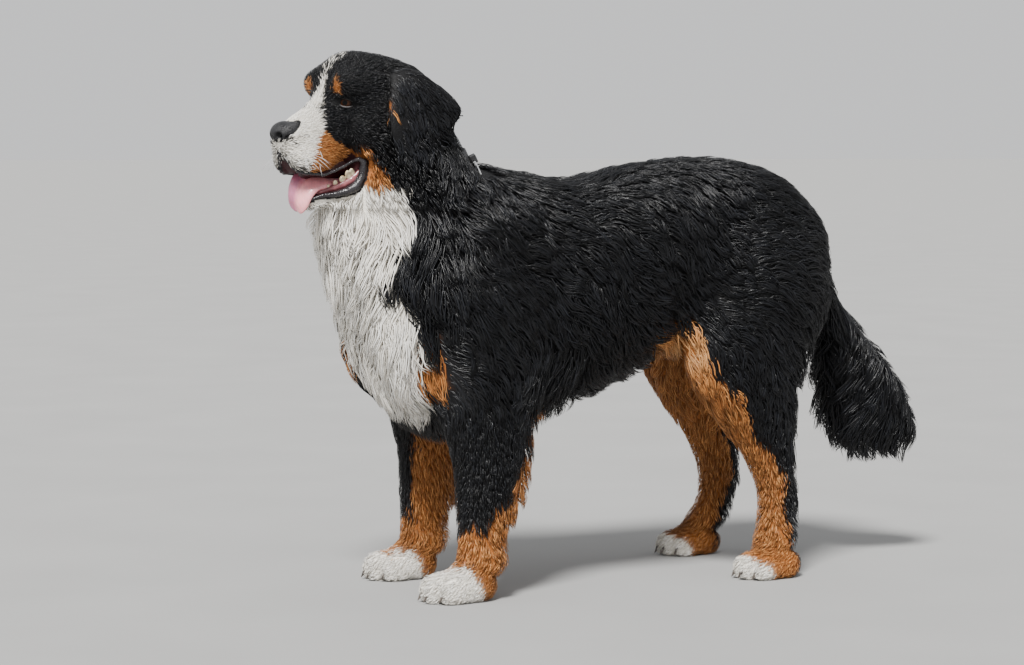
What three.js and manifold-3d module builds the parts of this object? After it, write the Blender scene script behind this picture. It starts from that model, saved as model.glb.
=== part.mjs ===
import * as THREE from "three";
import { mergeVertices } from "three/addons/utils/BufferGeometryUtils.js";
import Module from "manifold-3d";

// A male Bernese mountain dog standing square with its mouth open, in millimetres, +Z up.
// It faces -X, its left side is -Y, and its soles rest on z = 0.
// Every form of flesh and coat is a distance field, negative inside, that is turned into a closed mesh.

const wasm = await Module();
wasm.setup();

// Driving dimensions
const GAP = 0.3;
const CENTRE_X = 40;
const CENTRE_Y = 3;
const PAW_CUT = 62;
const HOCK_CUT = 172;
const ELBOW_CUT = 322;
const CHEST_CUT = -88;
const FAR_SIZE = 2000;
const CORE = 0.5;
const SUNK = 9;
const LOCK_STEPS = 3;
const LOCK_THICK = 9;
const TAPER = [0.75, 1, 0.72];
const EYE_RADIUS = 12;
const EYE = [42, 34, 2];
const EYE_OUT = [0.76, 0.64, 0.1];
const EYE_HOLLOW = { centre: [66, 50, -1], radius: [19, 15, 11] };
const LID_RADIUS = 14.5;
const SLIT = [9, 13, 6];
const CLAW = { radius: 4.5, length: 24 };
const TEETH = [
  { place: [62, 43, -105], height: 22, radius: 6.5 },
  { place: [76, 40, -109], height: 20, radius: 5 },
  { place: [90, 36, -113], height: 18, radius: 4.5 },
];
const EAR_LOCKS = [
  { root: [-98, 88, -22], tip: [-131, 92, -54] },
  { root: [-84, 90, -46], tip: [-114, 93, -84] },
  { root: [-56, 90, -72], tip: [-72, 93, -110] },
  { root: [-30, 88, -86], tip: [-30, 90, -124] },
];
const RING = { angle: -0.3, radius: 17, wire: 2.2, behind: -22, height: 4, loop: [20, 12, 9] };
const COLLAR = {
  centre: [-332, 0, 628],
  back: [0.893, 0, 0.45],
  up: [-0.45, 0, 0.893],
  width: 28,
  thick: 4,
  sunk: 34,
  steps: 28,
};

// The head's own frame: f forward along the muzzle, l to the dog's left, u up
const HEAD_CENTRE = [-397, -10, 775];
const HEAD_YAW = 12;
const HEAD_PITCH = 13;

const COLOURS = {
  black: [0x14141a, 0.45, 0],
  rust: [0x9a4a16, 0.7, 0],
  white: [0xe9e4da, 0.75, 0],
  nose: [0x1b1b1f, 0.35, 0],
  tongue: [0xd98a94, 0.4, 0],
  eye: [0x2a1409, 0.1, 0],
  strap: [0x17171a, 0.6, 0],
  chrome: [0xc9ccd0, 0.2, 1],
};

const degrees = (a) => (a * Math.PI) / 180;
const clamp = THREE.MathUtils.clamp;
const SIDES = { left: -1, right: 1 };

function smoothMin(a, b, k) {
  const h = Math.max(k - Math.abs(a - b), 0);
  return Math.min(a, b) - (h * h) / (4 * k);
}

function smoothMax(a, b, k) {
  return -smoothMin(-a, -b, k);
}

// Rows of a profile, [along, low, high, side centre, half width], joined by smooth cubic curves
function profile(rows) {
  const step = 2;
  const first = rows[0][0];
  const last = rows[rows.length - 1][0];
  const slope = (i, c) => {
    const before = rows[Math.max(i - 1, 0)];
    const after = rows[Math.min(i + 1, rows.length - 1)];
    return (after[c] - before[c]) / (after[0] - before[0]);
  };
  const table = [];
  for (let s = first, i = 0; s <= last + step; s += step) {
    while (i < rows.length - 2 && s > rows[i + 1][0]) i++;
    const [p, q] = [rows[i], rows[i + 1]];
    const span = q[0] - p[0];
    const t = clamp((s - p[0]) / span, 0, 1);
    const a = 2 * t ** 3 - 3 * t ** 2 + 1;
    const b = t ** 3 - 2 * t ** 2 + t;
    const d = t ** 3 - t ** 2;
    const cubic = (c) => a * p[c] + b * span * slope(i, c) + (1 - a) * q[c] + d * span * slope(i + 1, c);
    table.push([1, 2, 3, 4].map(cubic));
  }
  const at = (s) => {
    const where = clamp((s - first) / step, 0, table.length - 1.001);
    const i = Math.floor(where);
    const t = where - i;
    return table[i].map((value, c) => value + (table[i + 1][c] - value) * t);
  };
  return { first, last, at };
}

// A rounded tube on a profile. coat is the depth of hair at the high side, the flanks and the low side.
function tube(rows, { power = 2.2, round = 30, coat = [16, 20, 24] } = {}) {
  const shape = profile(rows);
  return (along, a, b, share = 1) => {
    const [low, high, centre, half] = shape.at(clamp(along, shape.first, shape.last));
    const reach = (high - low) / 2;
    const u = (a - (high + low) / 2) / reach;
    const v = (b - centre) / half;
    const rho = Math.max((Math.abs(u) ** power + Math.abs(v) ** power) ** (1 / power), 1e-3);
    const lean = (x) => (Math.abs(x) / rho) ** (power - 1);
    const steep = Math.hypot(lean(u) / reach, lean(v) / half);
    const tilt = clamp(u / rho, -1, 1);
    const depth = coat[1] + (coat[tilt > 0 ? 0 : 2] - coat[1]) * tilt * tilt;
    const side = (rho - 1) / steep + (1 - share) * depth;
    const end = Math.max(along - shape.last, shape.first - along) + (1 - share) * coat[1];
    return smoothMax(side, end, round);
  };
}

function ellipsoid(p, centre, radius) {
  const q = [0, 1, 2].map((i) => (p[i] - centre[i]) / radius[i]);
  const rho = Math.hypot(...q);
  const steep = Math.hypot(...q.map((v, i) => v / radius[i])) / Math.max(rho, 1e-3);
  return (rho - 1) / Math.max(steep, 1e-3);
}

// Head frame
const yaw = degrees(HEAD_YAW);
const pitch = degrees(HEAD_PITCH);
const FORWARD = new THREE.Vector3(-Math.cos(yaw), -Math.sin(yaw), -Math.tan(pitch)).normalize();
const LEFTWARD = new THREE.Vector3(Math.sin(yaw), -Math.cos(yaw), 0);
const UPWARD = new THREE.Vector3().crossVectors(FORWARD, LEFTWARD);
const HEAD_MATRIX = new THREE.Matrix4().makeBasis(FORWARD, LEFTWARD, UPWARD).setPosition(...HEAD_CENTRE);
const HEAD_INVERSE = HEAD_MATRIX.clone().invert();

function toHead(p) {
  return new THREE.Vector3(...p).applyMatrix4(HEAD_INVERSE).toArray();
}

function fromHead(p) {
  return new THREE.Vector3(...p).applyMatrix4(HEAD_MATRIX).toArray();
}

// Trunk
const torso = tube(
  [
    [-335, 370, 560, 0, 100],
    [-290, 300, 610, 0, 132],
    [-200, 252, 668, 0, 155],
    [-120, 255, 662, 0, 165],
    [-40, 282, 650, 0, 170],
    [40, 318, 668, 0, 165],
    [120, 358, 682, 0, 155],
    [200, 385, 687, 0, 150],
    [280, 400, 678, 0, 145],
    [350, 420, 652, 0, 128],
    [405, 455, 600, 0, 98],
    [438, 490, 555, 0, 55],
  ],
  { power: 2.3, round: 50, coat: [18, 25, 42] },
);
const neckTube = tube(
  [
    [225, -280, -180, 0, 60],
    [280, -345, -190, 0, 85],
    [330, -378, -190, 0, 108],
    [400, -410, -160, 0, 128],
    [460, -440, -140, 0, 140],
    [520, -462, -140, 0, 138],
    [580, -474, -160, 0, 128],
    [640, -462, -192, 0, 116],
    [700, -430, -226, 0, 104],
    [760, -400, -262, 0, 88],
    [805, -380, -292, 0, 64],
  ],
  { power: 2.2, round: 40, coat: [25, 28, 45] },
);

// Legs: the paws' places, each leg's run up to the elbow or hip
const FORE = {
  left: { paw: [-272, -129], top: -112 },
  right: { paw: [-272, 112], top: 104 },
};
const HIND = {
  left: { paw: [275, -130], top: -96, back: 0 },
  right: { paw: [278, 146], top: 100, back: 26 },
};

function forelegTube({ paw, top }) {
  const y = (z) => paw[1] + ((top - paw[1]) * z) / 420;
  const rows = [
    [30, -52, 50, 46],
    [60, -34, 56, 41],
    [95, -32, 52, 36],
    [150, -34, 76, 42],
    [200, -36, 88, 48],
    [250, -48, 98, 54],
    [300, -60, 112, 60],
    [350, -72, 118, 64],
    [430, -70, 110, 64],
    [500, -60, 90, 58],
  ];
  return tube(
    rows.map(([z, front, rear, half]) => [z, paw[0] + 26 + front, paw[0] + 26 + rear, y(z), half]),
    { power: 2.2, round: 30, coat: [28, 2, 1] },
  );
}

function hindLegTube({ paw, top, back }) {
  const y = (z) => paw[1] + ((top - paw[1]) * z) / 460;
  const rows = [
    [30, -40, 58, 42],
    [60, -28, 56, 37],
    [95, -20, 54, 33],
    [140, -20, 62, 33],
    [180, -34, 58, 37],
    [220, -58, 58, 45],
    [260, -92, 60, 55],
    [310, -130, 66, 66],
    [370, -150, 88, 73],
    [430, -150, 118, 78],
    [500, -120, 125, 78],
    [570, -80, 110, 70],
  ];
  const shift = (z) => back * clamp((z - 20) / 80, 0, 1) * clamp((620 - z) / 300, 0, 1);
  const from = (z) => paw[0] + shift(z);
  return tube(
    rows.map(([z, front, rear, half]) => [z, from(z) + front, from(z) + rear, y(z), half]),
    { power: 2.2, round: 30, coat: [34, 4, 2] },
  );
}

const foreTubes = { left: forelegTube(FORE.left), right: forelegTube(FORE.right) };
const hindTubes = { left: hindLegTube(HIND.left), right: hindLegTube(HIND.right) };

// A paw: four toes that fan out in front of a rounded pad
const PAW = { length: 50, width: 42, height: 62 };
const TOES = [
  { out: -30, ahead: -14, radius: [26, 15, 26] },
  { out: -11, ahead: -30, radius: [28, 15, 28] },
  { out: 11, ahead: -30, radius: [28, 15, 28] },
  { out: 30, ahead: -14, radius: [26, 15, 26] },
];

function paw(p, [x, y], size) {
  const q = [(p[0] - x) / size, (p[1] - y) / size, p[2] / size];
  let d = ellipsoid(q, [6, 0, 22], [PAW.length, PAW.width, PAW.height / 1.8]);
  for (const toe of TOES) d = smoothMin(d, ellipsoid(q, [toe.ahead - 12, toe.out, 18], toe.radius), 7);
  return d * size;
}

function forePaw(p, side) {
  return paw(p, FORE[side].paw, 1);
}

function hindPaw(p, side) {
  return paw(p, HIND[side].paw, 0.94);
}

// Shoulder and thigh muscle that fill out the trunk
const SHOULDER = { centre: [-232, 108, 478], radius: [82, 56, 130], coat: 30 };
const UPPER_ARM = { centre: [-345, 84, 428], radius: [56, 46, 118], coat: 26 };

const trunkField = (p, share) => {
  let d = torso(p[0], p[2], p[1], share);
  d = smoothMin(d, neckTube(p[2], p[0], p[1], share), 60);
  const mirrored = [p[0], Math.abs(p[1]), p[2]];
  const muscle = ({ centre, radius, coat }) => ellipsoid(mirrored, centre, radius) + (1 - share) * coat;
  d = smoothMin(d, muscle(SHOULDER), 50);
  d = smoothMin(d, muscle(UPPER_ARM), 40);
  return d;
};

const bodyField = (p, share = 1) => {
  let d = trunkField(p, share);
  for (const side of ["left", "right"]) {
    const short = (1 - share) * 6;
    const front = smoothMin(foreTubes[side](p[2], p[0], p[1], share), forePaw(p, side) + short, 12);
    const hind = smoothMin(hindTubes[side](p[2], p[0], p[1], share), hindPaw(p, side) + short, 12);
    d = smoothMin(d, front, 35);
    d = smoothMin(d, hind, 45);
  }
  return smoothMin(d, headField(toHead(p), share), 30);
};

// Skull and cheeks
const cranium = tube(
  [
    [-124, -46, 0, 0, 30],
    [-106, -80, 26, 0, 56],
    [-70, -112, 49, 0, 73],
    [-30, -132, 67, 0, 82],
    [8, -136, 76, 0, 80],
    [38, -118, 66, 0, 60],
    [58, -98, 40, 0, 40],
    [74, -84, 18, 0, 36],
  ],
  { power: 2.3, round: 22, coat: [9, 14, 22] },
);
const muzzle = tube(
  [
    [35, -72, 30, 0, 36],
    [65, -87, 16, 0, 44],
    [90, -93, 6, 0, 48],
    [112, -96, -1, 0, 46],
    [132, -92, -7, 0, 42],
    [146, -82, -13, 0, 36],
    [156, -66, -18, 0, 29],
    [163, -48, -26, 0, 20],
  ],
  { power: 2.7, round: 22, coat: [5, 6, 5] },
);
const mouthRoom = tube(
  [
    [30, -150, -66, 0, 34],
    [70, -150, -63, 0, 38],
    [110, -150, -60, 0, 34],
    [138, -150, -60, 0, 26],
    [152, -150, -62, 0, 12],
  ],
  { power: 3, round: 8 },
);

// The open side of the mouth, between the flews and the lower lip, ending at the corner
const mouthSide = tube(
  [
    [44, -112, -86, 0, 90],
    [60, -125, -84, 0, 90],
    [90, -150, -90, 0, 90],
    [200, -190, -90, 0, 90],
  ],
  { power: 4, round: 14 },
);

function headField(q, share = 1) {
  const m = [q[0], Math.abs(q[1]), q[2]];
  let d = cranium(q[0], q[2], q[1], share);
  d = smoothMin(d, muzzle(q[0], q[2], q[1], share), 22);
  d = smoothMin(d, ellipsoid(m, [14, 56, -40], [48, 24, 40]) + (1 - share) * 8, 20);
  d = smoothMin(d, ellipsoid(m, [38, 42, 32], [24, 26, 24]) + (1 - share) * 5, 20);
  d = smoothMin(d, ellipsoid(m, [112, 34, -66], [36, 17, 29]) + (1 - share) * 3, 12);
  return smoothMax(d, -ellipsoid(m, EYE_HOLLOW.centre, EYE_HOLLOW.radius), 16);
}

function carvedHead(q) {
  const open = smoothMin(mouthRoom(q[0], q[2], q[1]), mouthSide(q[0], q[2], q[1]), 6);
  return smoothMax(headField(q), -open, 5);
}

// Lower jaw with its lip, and the tongue that lies in it and hangs over its front
const jawTube = tube(
  [
    [40, -152, -98, 0, 52],
    [60, -154, -106, 0, 50],
    [85, -153, -113, 0, 44],
    [110, -151, -117, 0, 36],
    [130, -148, -119, 0, 27],
    [143, -142, -123, 0, 18],
  ],
  { power: 2.6, round: 12, coat: [2, 6, 10] },
);
const jawRoom = tube(
  [
    [20, -138, -60, 0, 40],
    [60, -138, -60, 0, 38],
    [85, -138, -60, 0, 33],
    [110, -136, -60, 0, 25],
    [130, -132, -60, 0, 16],
  ],
  { power: 3, round: 6 },
);
const tongueTube = tube(
  [
    [42, -130, -110, 0, 24],
    [80, -126, -106, 0, 26],
    [108, -119, -102, 1, 26],
    [126, -118, -102, 1, 26],
    [139, -129, -108, 0, 25],
    [148, -143, -119, -1, 23],
    [157, -155, -131, -2, 18],
  ],
  { power: 2.3, round: 7 },
);

const jawField = (q) => smoothMax(jawTube(q[0], q[2], q[1]), -jawRoom(q[0], q[2], q[1]), 4);
const tongueField = (q) => tongueTube(q[0], q[2], q[1]) + 2.5 * Math.exp(-((q[1] - 2) ** 2) / 18);

// Nose leather, wider at its wings
function noseField(q) {
  const m = [q[0], Math.abs(q[1]), q[2]];
  const wing = ellipsoid(m, [140, 13, -25], [18, 12.5, 12]);
  return smoothMin(ellipsoid(q, [143, 0, -20], [20, 21, 15.5]), wing, 6);
}

// An ear: a soft flap that hangs from the side of the skull, hollow on its inner face
const earTube = tube(
  [
    [-112, -38, -12, 88, 7],
    [-98, -56, 2, 89, 9],
    [-80, -90, 10, 90, 11],
    [-50, -126, 13, 90, 12],
    [-18, -114, 5, 84, 14],
    [14, -86, -10, 74, 16],
    [38, -62, -22, 62, 14],
  ],
  { power: 2.4, round: 12, coat: [6, 5, 6] },
);

function earField(q, side) {
  const m = [q[0], -SIDES[side] * q[1], q[2]];
  const flap = earTube(m[2], m[0], m[1]);
  return smoothMax(flap, -ellipsoid(m, [-40, 66, -35], [34, 14, 45]), 6);
}

// Tail: a plume that hangs from a bone along its rear edge
const tailTube = tube(
  [
    [182, 492, 594, 0, 30],
    [212, 444, 624, 0, 48],
    [250, 422, 628, 0, 58],
    [300, 412, 602, 0, 62],
    [350, 406, 562, 0, 62],
    [400, 402, 514, 0, 58],
    [450, 398, 478, 0, 52],
    [500, 396, 454, 0, 46],
    [550, 392, 440, 0, 40],
    [592, 385, 428, 0, 32],
  ],
  { power: 2.2, round: 24, coat: [14, 24, 60] },
);
const tailField = (p, share = 1) => tailTube(p[2], p[0], p[1], share);

// A grid cell's corners, edges and faces, for the mesher below
const CORNERS = [0, 1, 2, 3, 4, 5, 6, 7].map((c) => [c & 1, (c >> 1) & 1, c >> 2]);
const EDGES = [];
for (let a = 0; a < 8; a++) for (const bit of [1, 2, 4]) if (!(a & bit)) EDGES.push([a, a | bit]);
const edgeBetween = (a, b) => EDGES.findIndex(([c, d]) => (c === a && d === b) || (c === b && d === a));
const FACES = [];
for (const [x, y, z] of [[1, 2, 4], [2, 4, 1], [4, 1, 2]])
  for (const level of [0, z]) FACES.push([level, level | x, level | x | y, level | y]);
const FACE_EDGES = FACES.map((ring) => ring.map((c, i) => edgeBetween(c, ring[(i + 1) % 4])));
const EDGE_OF = [1, 2, 4].map((bit) => CORNERS.map((_, c) => (c & bit ? -1 : edgeBetween(c, c | bit))));

// Groups the edges of a cell that one sheet of the surface crosses
function sheets(v) {
  const group = EDGES.map((_, i) => i);
  const root = (i) => (group[i] === i ? i : root(group[i]));
  FACE_EDGES.forEach((ring, f) => {
    const crossed = ring.filter((e) => v[EDGES[e][0]] > 0 !== v[EDGES[e][1]] > 0);
    if (crossed.length === 2) group[root(crossed[0])] = root(crossed[1]);
    if (crossed.length === 4)
      for (let c = 0; c < 4; c++) if (v[FACES[f][c]] < 0) group[root(ring[c])] = root(ring[(c + 3) % 4]);
  });
  const found = new Map();
  EDGES.forEach(([a, b], e) => {
    if (v[a] > 0 === v[b] > 0) return;
    const key = root(e);
    if (!found.has(key)) found.set(key, []);
    found.get(key).push(e);
  });
  return [...found.values()];
}

// Grid lines from low to high, a cell's size apart, or by a list of [size, up to] for finer stretches
function gridLine(low, high, cell) {
  const stretches = typeof cell === "number" ? [[cell, high]] : cell;
  const line = [low];
  for (const [size, upTo] of stretches) {
    while (line[line.length - 1] < upTo) line.push(line[line.length - 1] + size);
  }
  return line;
}

// Closed mesh of the zero level of a field, one vertex for each sheet of it in a cell
function net(field, low, high, cell) {
  const lines = [0, 1, 2].map((i) => gridLine(low[i], high[i], cell[i]));
  const [nx, ny, nz] = lines.map((line) => line.length);
  const at = (i, j, k) => (k * ny + j) * nx + i;
  const place = (i, j, k) => [lines[0][i], lines[1][j], lines[2][k]];
  const values = new Float64Array(nx * ny * nz);
  for (let k = 0; k < nz; k++)
    for (let j = 0; j < ny; j++)
      for (let i = 0; i < nx; i++) {
        const rim = i === 0 || j === 0 || k === 0 || i === nx - 1 || j === ny - 1 || k === nz - 1;
        const value = field(place(i, j, k)) || 1e-6;
        values[at(i, j, k)] = rim ? Math.max(value, 0.05) : value;
      }
  const vertexOf = new Int32Array(nx * ny * nz * 12).fill(-1);
  const points = [];
  for (let k = 0; k < nz - 1; k++)
    for (let j = 0; j < ny - 1; j++)
      for (let i = 0; i < nx - 1; i++) {
        const v = CORNERS.map((c) => values[at(i + c[0], j + c[1], k + c[2])]);
        if (v.every((x) => x > 0) || v.every((x) => x < 0)) continue;
        for (const sheet of sheets(v)) {
          const sum = [0, 0, 0];
          for (const e of sheet) {
            const [a, b] = EDGES[e];
            const t = v[a] / (v[a] - v[b]);
            for (let c = 0; c < 3; c++) sum[c] += CORNERS[a][c] + (CORNERS[b][c] - CORNERS[a][c]) * t;
            vertexOf[at(i, j, k) * 12 + e] = points.length;
          }
          const corner = place(i, j, k);
          const size = place(i + 1, j + 1, k + 1).map((x, c) => x - corner[c]);
          const mean = corner.map((x, c) => x + (sum[c] / sheet.length) * size[c]);
          points.push(settle(field, mean, Math.min(...size)));
        }
      }
  const faces = [];
  const far = (m, n) => Math.hypot(...[0, 1, 2].map((x) => points[m][x] - points[n][x]));
  const quad = ([a, b, c, d]) => {
    if (far(a, c) <= far(b, d)) faces.push(a, b, c, a, c, d);
    else faces.push(b, c, d, b, d, a);
  };
  const strides = [at(1, 0, 0), at(0, 1, 0), at(0, 0, 1)];
  for (let k = 0; k < nz - 1; k++)
    for (let j = 0; j < ny - 1; j++)
      for (let i = 0; i < nx - 1; i++)
        for (let axis = 0; axis < 3; axis++) {
          const here = at(i, j, k);
          const inside = values[here] < 0;
          if (inside === values[here + strides[axis]] < 0) continue;
          const s = (axis + 1) % 3;
          const t = (axis + 2) % 3;
          const around = [[1, 1], [0, 1], [0, 0], [1, 0]].map(([back, down]) => {
            const owner = here - back * strides[s] - down * strides[t];
            return vertexOf[owner * 12 + EDGE_OF[axis][(back << s) | (down << t)]];
          });
          quad(inside ? around : around.reverse());
        }
  return closed(points.flat(), faces);
}

// How fast a field grows along each axis
function slopeOf(field, p) {
  const value = field(p);
  const h = 0.5;
  return [0, 1, 2].map((i) => {
    const q = p.slice();
    q[i] += h;
    return (field(q) - value) / h;
  });
}

// Moves a point along the field's slope onto its zero level, unless that is far away
function settle(field, point, reach) {
  let p = point;
  for (let pass = 0; pass < 2; pass++) {
    const value = field(p);
    if (Math.abs(value) > reach * 0.6) return p;
    const slope = slopeOf(field, p);
    const steep = slope.reduce((s, x) => s + x * x, 0);
    p = p.map((x, i) => x - (value * slope[i]) / Math.max(steep, 0.2));
  }
  return p;
}

// manifold-3d only joins and cuts; every shape below comes from a field or a three.js geometry
function closed(positions, faces) {
  return new wasm.Manifold(
    new wasm.Mesh({
      numProp: 3,
      vertProperties: Float32Array.from(positions),
      triVerts: Uint32Array.from(faces),
    }),
  );
}

function solidOf(geometry) {
  geometry.deleteAttribute("normal");
  geometry.deleteAttribute("uv");
  const merged = mergeVertices(geometry, 1e-4);
  return closed(merged.attributes.position.array, merged.index.array);
}

// A box between two corners, as a tool that cuts
function block(low, high) {
  const size = [0, 1, 2].map((i) => high[i] - low[i]);
  const box = new THREE.BoxGeometry(...size);
  return solidOf(box.translate(...[0, 1, 2].map((i) => (high[i] + low[i]) / 2)));
}

// All that lies on the side of a plane that its normal points to
function beyond(point, normal, away = 0) {
  const n = new THREE.Vector3(...normal).normalize();
  const box = new THREE.BoxGeometry(FAR_SIZE, FAR_SIZE, FAR_SIZE).translate(0, 0, FAR_SIZE / 2 + away);
  box.applyQuaternion(new THREE.Quaternion().setFromUnitVectors(new THREE.Vector3(0, 0, 1), n));
  return solidOf(box.translate(...point));
}

function largest(solid) {
  const bodies = solid.decompose();
  return bodies.reduce((best, body) => (body.volume() > best.volume() ? body : best));
}

function geometryOf(solid) {
  const { vertProperties, triVerts } = solid.getMesh();
  const geometry = new THREE.BufferGeometry();
  geometry.setAttribute("position", new THREE.BufferAttribute(vertProperties, 3));
  geometry.setIndex(new THREE.BufferAttribute(triVerts, 1));
  geometry.computeVertexNormals();
  return geometry;
}

// The same solid, each corner pushed out far enough that its faces clear the first ones by the gap
function swollen(solid, by = 2 * GAP) {
  const geometry = geometryOf(solid);
  const { position, normal } = geometry.attributes;
  const moved = position.array.map((x, i) => x + normal.array[i] * by);
  return closed(moved, geometry.index.array);
}

// Merges corners that joining left almost in one place, where the solid stays closed
function tidied(solid) {
  const geometry = geometryOf(solid);
  geometry.deleteAttribute("normal");
  const merged = mergeVertices(geometry, 0.08);
  const index = merged.index.array;
  const kept = [];
  for (let i = 0; i < index.length; i += 3) {
    const [a, b, c] = index.slice(i, i + 3);
    if (a !== b && b !== c && c !== a) kept.push(a, b, c);
  }
  try {
    const clean = largest(closed(merged.attributes.position.array, kept));
    return Math.abs(clean.volume() / solid.volume() - 1) < 1e-3 ? clean : solid;
  } catch {
    return solid;
  }
}

const part = new THREE.Group();
part.position.set(-CENTRE_X, -CENTRE_Y, 0);

function add(name, solid, [colour, roughness, metalness]) {
  const material = new THREE.MeshStandardMaterial({ color: colour, roughness, metalness });
  const mesh = new THREE.Mesh(geometryOf(tidied(largest(solid))), material);
  mesh.name = name;
  part.add(mesh);
}

// Planes that part the body, each as a point and a normal
const NAPE = [-190, 0, 672];
const NECK_UP = [-0.75, 0, 0.661];
const OCCIPUT = fromHead([-55, 0, -60]);
const HEAD_ON = new THREE.Vector3(0.78, 0, 0.628).transformDirection(HEAD_MATRIX).toArray();
const THROAT = fromHead([0, 0, -138]);
const THROAT_UP = UPWARD.toArray();
const HIP = [85, 0, 360];
const HIP_UP = [-0.33, 0, 0.944];

const headRoom = (margin) =>
  beyond(OCCIPUT, HEAD_ON, -margin).intersect(beyond(THROAT, THROAT_UP, -margin));
const neckRoom = beyond(NAPE, NECK_UP, GAP / 2);
const torsoSide = beyond(NAPE, NECK_UP.map((x) => -x), GAP / 2);
const overFloor = beyond([0, 0, 0], [0, 0, 1]);

function foreRoom(side, margin) {
  const s = SIDES[side];
  const inner = s * (52 - margin);
  const outer = s * 400;
  return block(
    [-430, Math.min(inner, outer), -50],
    [-104 + margin, Math.max(inner, outer), ELBOW_CUT + margin],
  );
}

function hindRoom(side, margin) {
  const s = SIDES[side];
  const inner = s * (26 - margin);
  const outer = s * 400;
  const slab = block([HIP[0] - margin, Math.min(inner, outer), -50], [560, Math.max(inner, outer), 700]);
  return slab.intersect(beyond(HIP, HIP_UP.map((x) => -x), -margin));
}

// Which node's room a point of the coat is in, for locks that have to end there
const past = (p, point, normal) => normal.reduce((s, n, i) => s + n * (p[i] - point[i]), 0);
const headward = (p) => Math.min(past(p, OCCIPUT, HEAD_ON), past(p, THROAT, THROAT_UP));
const inFore = (p) => p[0] < -104 && Math.abs(p[1]) > 52 && p[2] < ELBOW_CUT;
const inHind = (p) => p[0] > HIP[0] && Math.abs(p[1]) > 26 && past(p, HIP, HIP_UP) < 0;
const inTrunk = (p) => past(p, NAPE, NECK_UP) < -4 && !inFore(p) && !inHind(p) && tailField(p) > 4;
const ROOMS = {
  chest: (p) => inTrunk(p) && p[0] < CHEST_CUT,
  torso: (p) => inTrunk(p) && p[0] > CHEST_CUT,
  neck: (p) => past(p, NAPE, NECK_UP) > 4 && headward(p) < -4 && nearEar(p) > 4,
  tail: () => true,
};

function nearEar(p) {
  const q = toHead(p);
  return Math.min(earField(q, "left"), earField(q, "right"));
}

// The body's core under the locks, half way to their tips, and full beside the head, whose coat is short
const coreField = (p) => bodyField(p, 1 - (1 - CORE) * clamp(-headward(p) / 60, 0, 1));
const tailCore = (p) => tailField(p, CORE);

let seed = 24;
function random(low, high) {
  seed = (seed * 16807) % 2147483647;
  return low + ((high - low) * seed) / 2147483647;
}

// The way the coat lies on the body: back and down the flanks, down the chest, neck, thighs and legs
function lieOfBody(p, out) {
  const front = clamp((-120 - p[0]) / 160, 0, 1);
  const low = clamp((420 - p[2]) / 120, 0, 1) * clamp((p[0] - 60) / 60, 0, 1);
  const fall = Math.max(front * 0.8, low, clamp(-out.x * front, 0, 1));
  return new THREE.Vector3(0.9 - 0.75 * fall, 0, -0.4 - 0.6 * fall);
}

const lieOfTail = (p) => new THREE.Vector3(clamp((p[2] - 220) / 500, 0, 0.5), 0, -1);

// A flat, tapered lock along a path, ridged on its outer face
function strip(path, outs, width, thick) {
  const points = [];
  const faces = [];
  const last = path.length - 1;
  for (let i = 0; i < last; i++) {
    const along = path[i + 1].clone().sub(path[Math.max(i - 1, 0)]);
    const side = along.cross(outs[i]).normalize();
    const taper = TAPER[Math.min(i + LOCK_STEPS - last, LOCK_STEPS - 1)];
    for (const [a, b] of [[-0.5, -0.3], [0.5, -0.3], [0, 0.7]]) {
      const corner = path[i].clone().addScaledVector(side, a * width * taper);
      points.push(...corner.addScaledVector(outs[i], b * thick * taper).toArray());
    }
    for (const [a, b] of [[0, 1], [1, 2], [2, 0]]) {
      const [m, n] = [i * 3 + a, i * 3 + b];
      if (i < last - 1) faces.push(m, n, n + 3, m, n + 3, m + 3);
      else faces.push(m, n, last * 3);
    }
  }
  points.push(...path[last].toArray());
  faces.push(0, 2, 1);
  const solid = closed(points, faces);
  return solid.volume() > 0 ? solid : closed(points, faces.reverse());
}

// A lock rooted in the core at a point, that rises to the coat's full depth as it runs along the lie
function lock(core, full, inside, root, lie, length, width) {
  const turn = random(-0.3, 0.3);
  const phase = random(0, 6);
  const path = [];
  const outs = [];
  let p = root;
  for (let i = 0; i <= LOCK_STEPS; i++) {
    const t = i / LOCK_STEPS;
    const rise = Math.sin(Math.min(1, t * 1.5) * (Math.PI / 2));
    p = settle((q) => (1 - rise) * (core(q) + SUNK) + rise * (full(q) + 1.5), p, 90);
    const out = new THREE.Vector3(...slopeOf(full, p)).normalize();
    if (i && !inside(p)) break;
    path.push(new THREE.Vector3(...p));
    outs.push(out);
    const way = lie(p, out).applyAxisAngle(out, turn + 0.35 * Math.cos(phase + t * 5));
    way.addScaledVector(out, -way.dot(out)).normalize();
    p = path[i].clone().addScaledVector(way, length / LOCK_STEPS).toArray();
  }
  return path.length > 2 ? strip(path, outs, width, LOCK_THICK) : null;
}

// Where a ray from inside a form leaves it
function cast(field, from, way) {
  let [near, far] = [0, 340];
  for (let i = 0; i < 24; i++) {
    const middle = (near + far) / 2;
    if (field(from.map((x, c) => x + way[c] * middle)) < 0) near = middle;
    else far = middle;
  }
  return from.map((x, c) => x + way[c] * near);
}

// Adds to a solid the locks that root where rays from a row of points leave its core
function grow(solid, { core = coreField, full = bodyField, room, lie = lieOfBody, rows, length, width }) {
  let grown = solid;
  for (const { from, ways } of rows)
    for (const way of ways) {
      const straight = new THREE.Vector3(...way).normalize().toArray();
      const turned = straight.map((x) => x + random(-0.06, 0.06));
      const root = cast(core, from.map((x) => x + random(-8, 8)), turned);
      if (!ROOMS[room](root)) continue;
      const size = [length * random(0.8, 1.2), width * random(0.85, 1.15)];
      const piece = lock(core, full, ROOMS[room], root, lie, ...size);
      if (piece) grown = grown.add(piece);
    }
  return grown;
}

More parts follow.
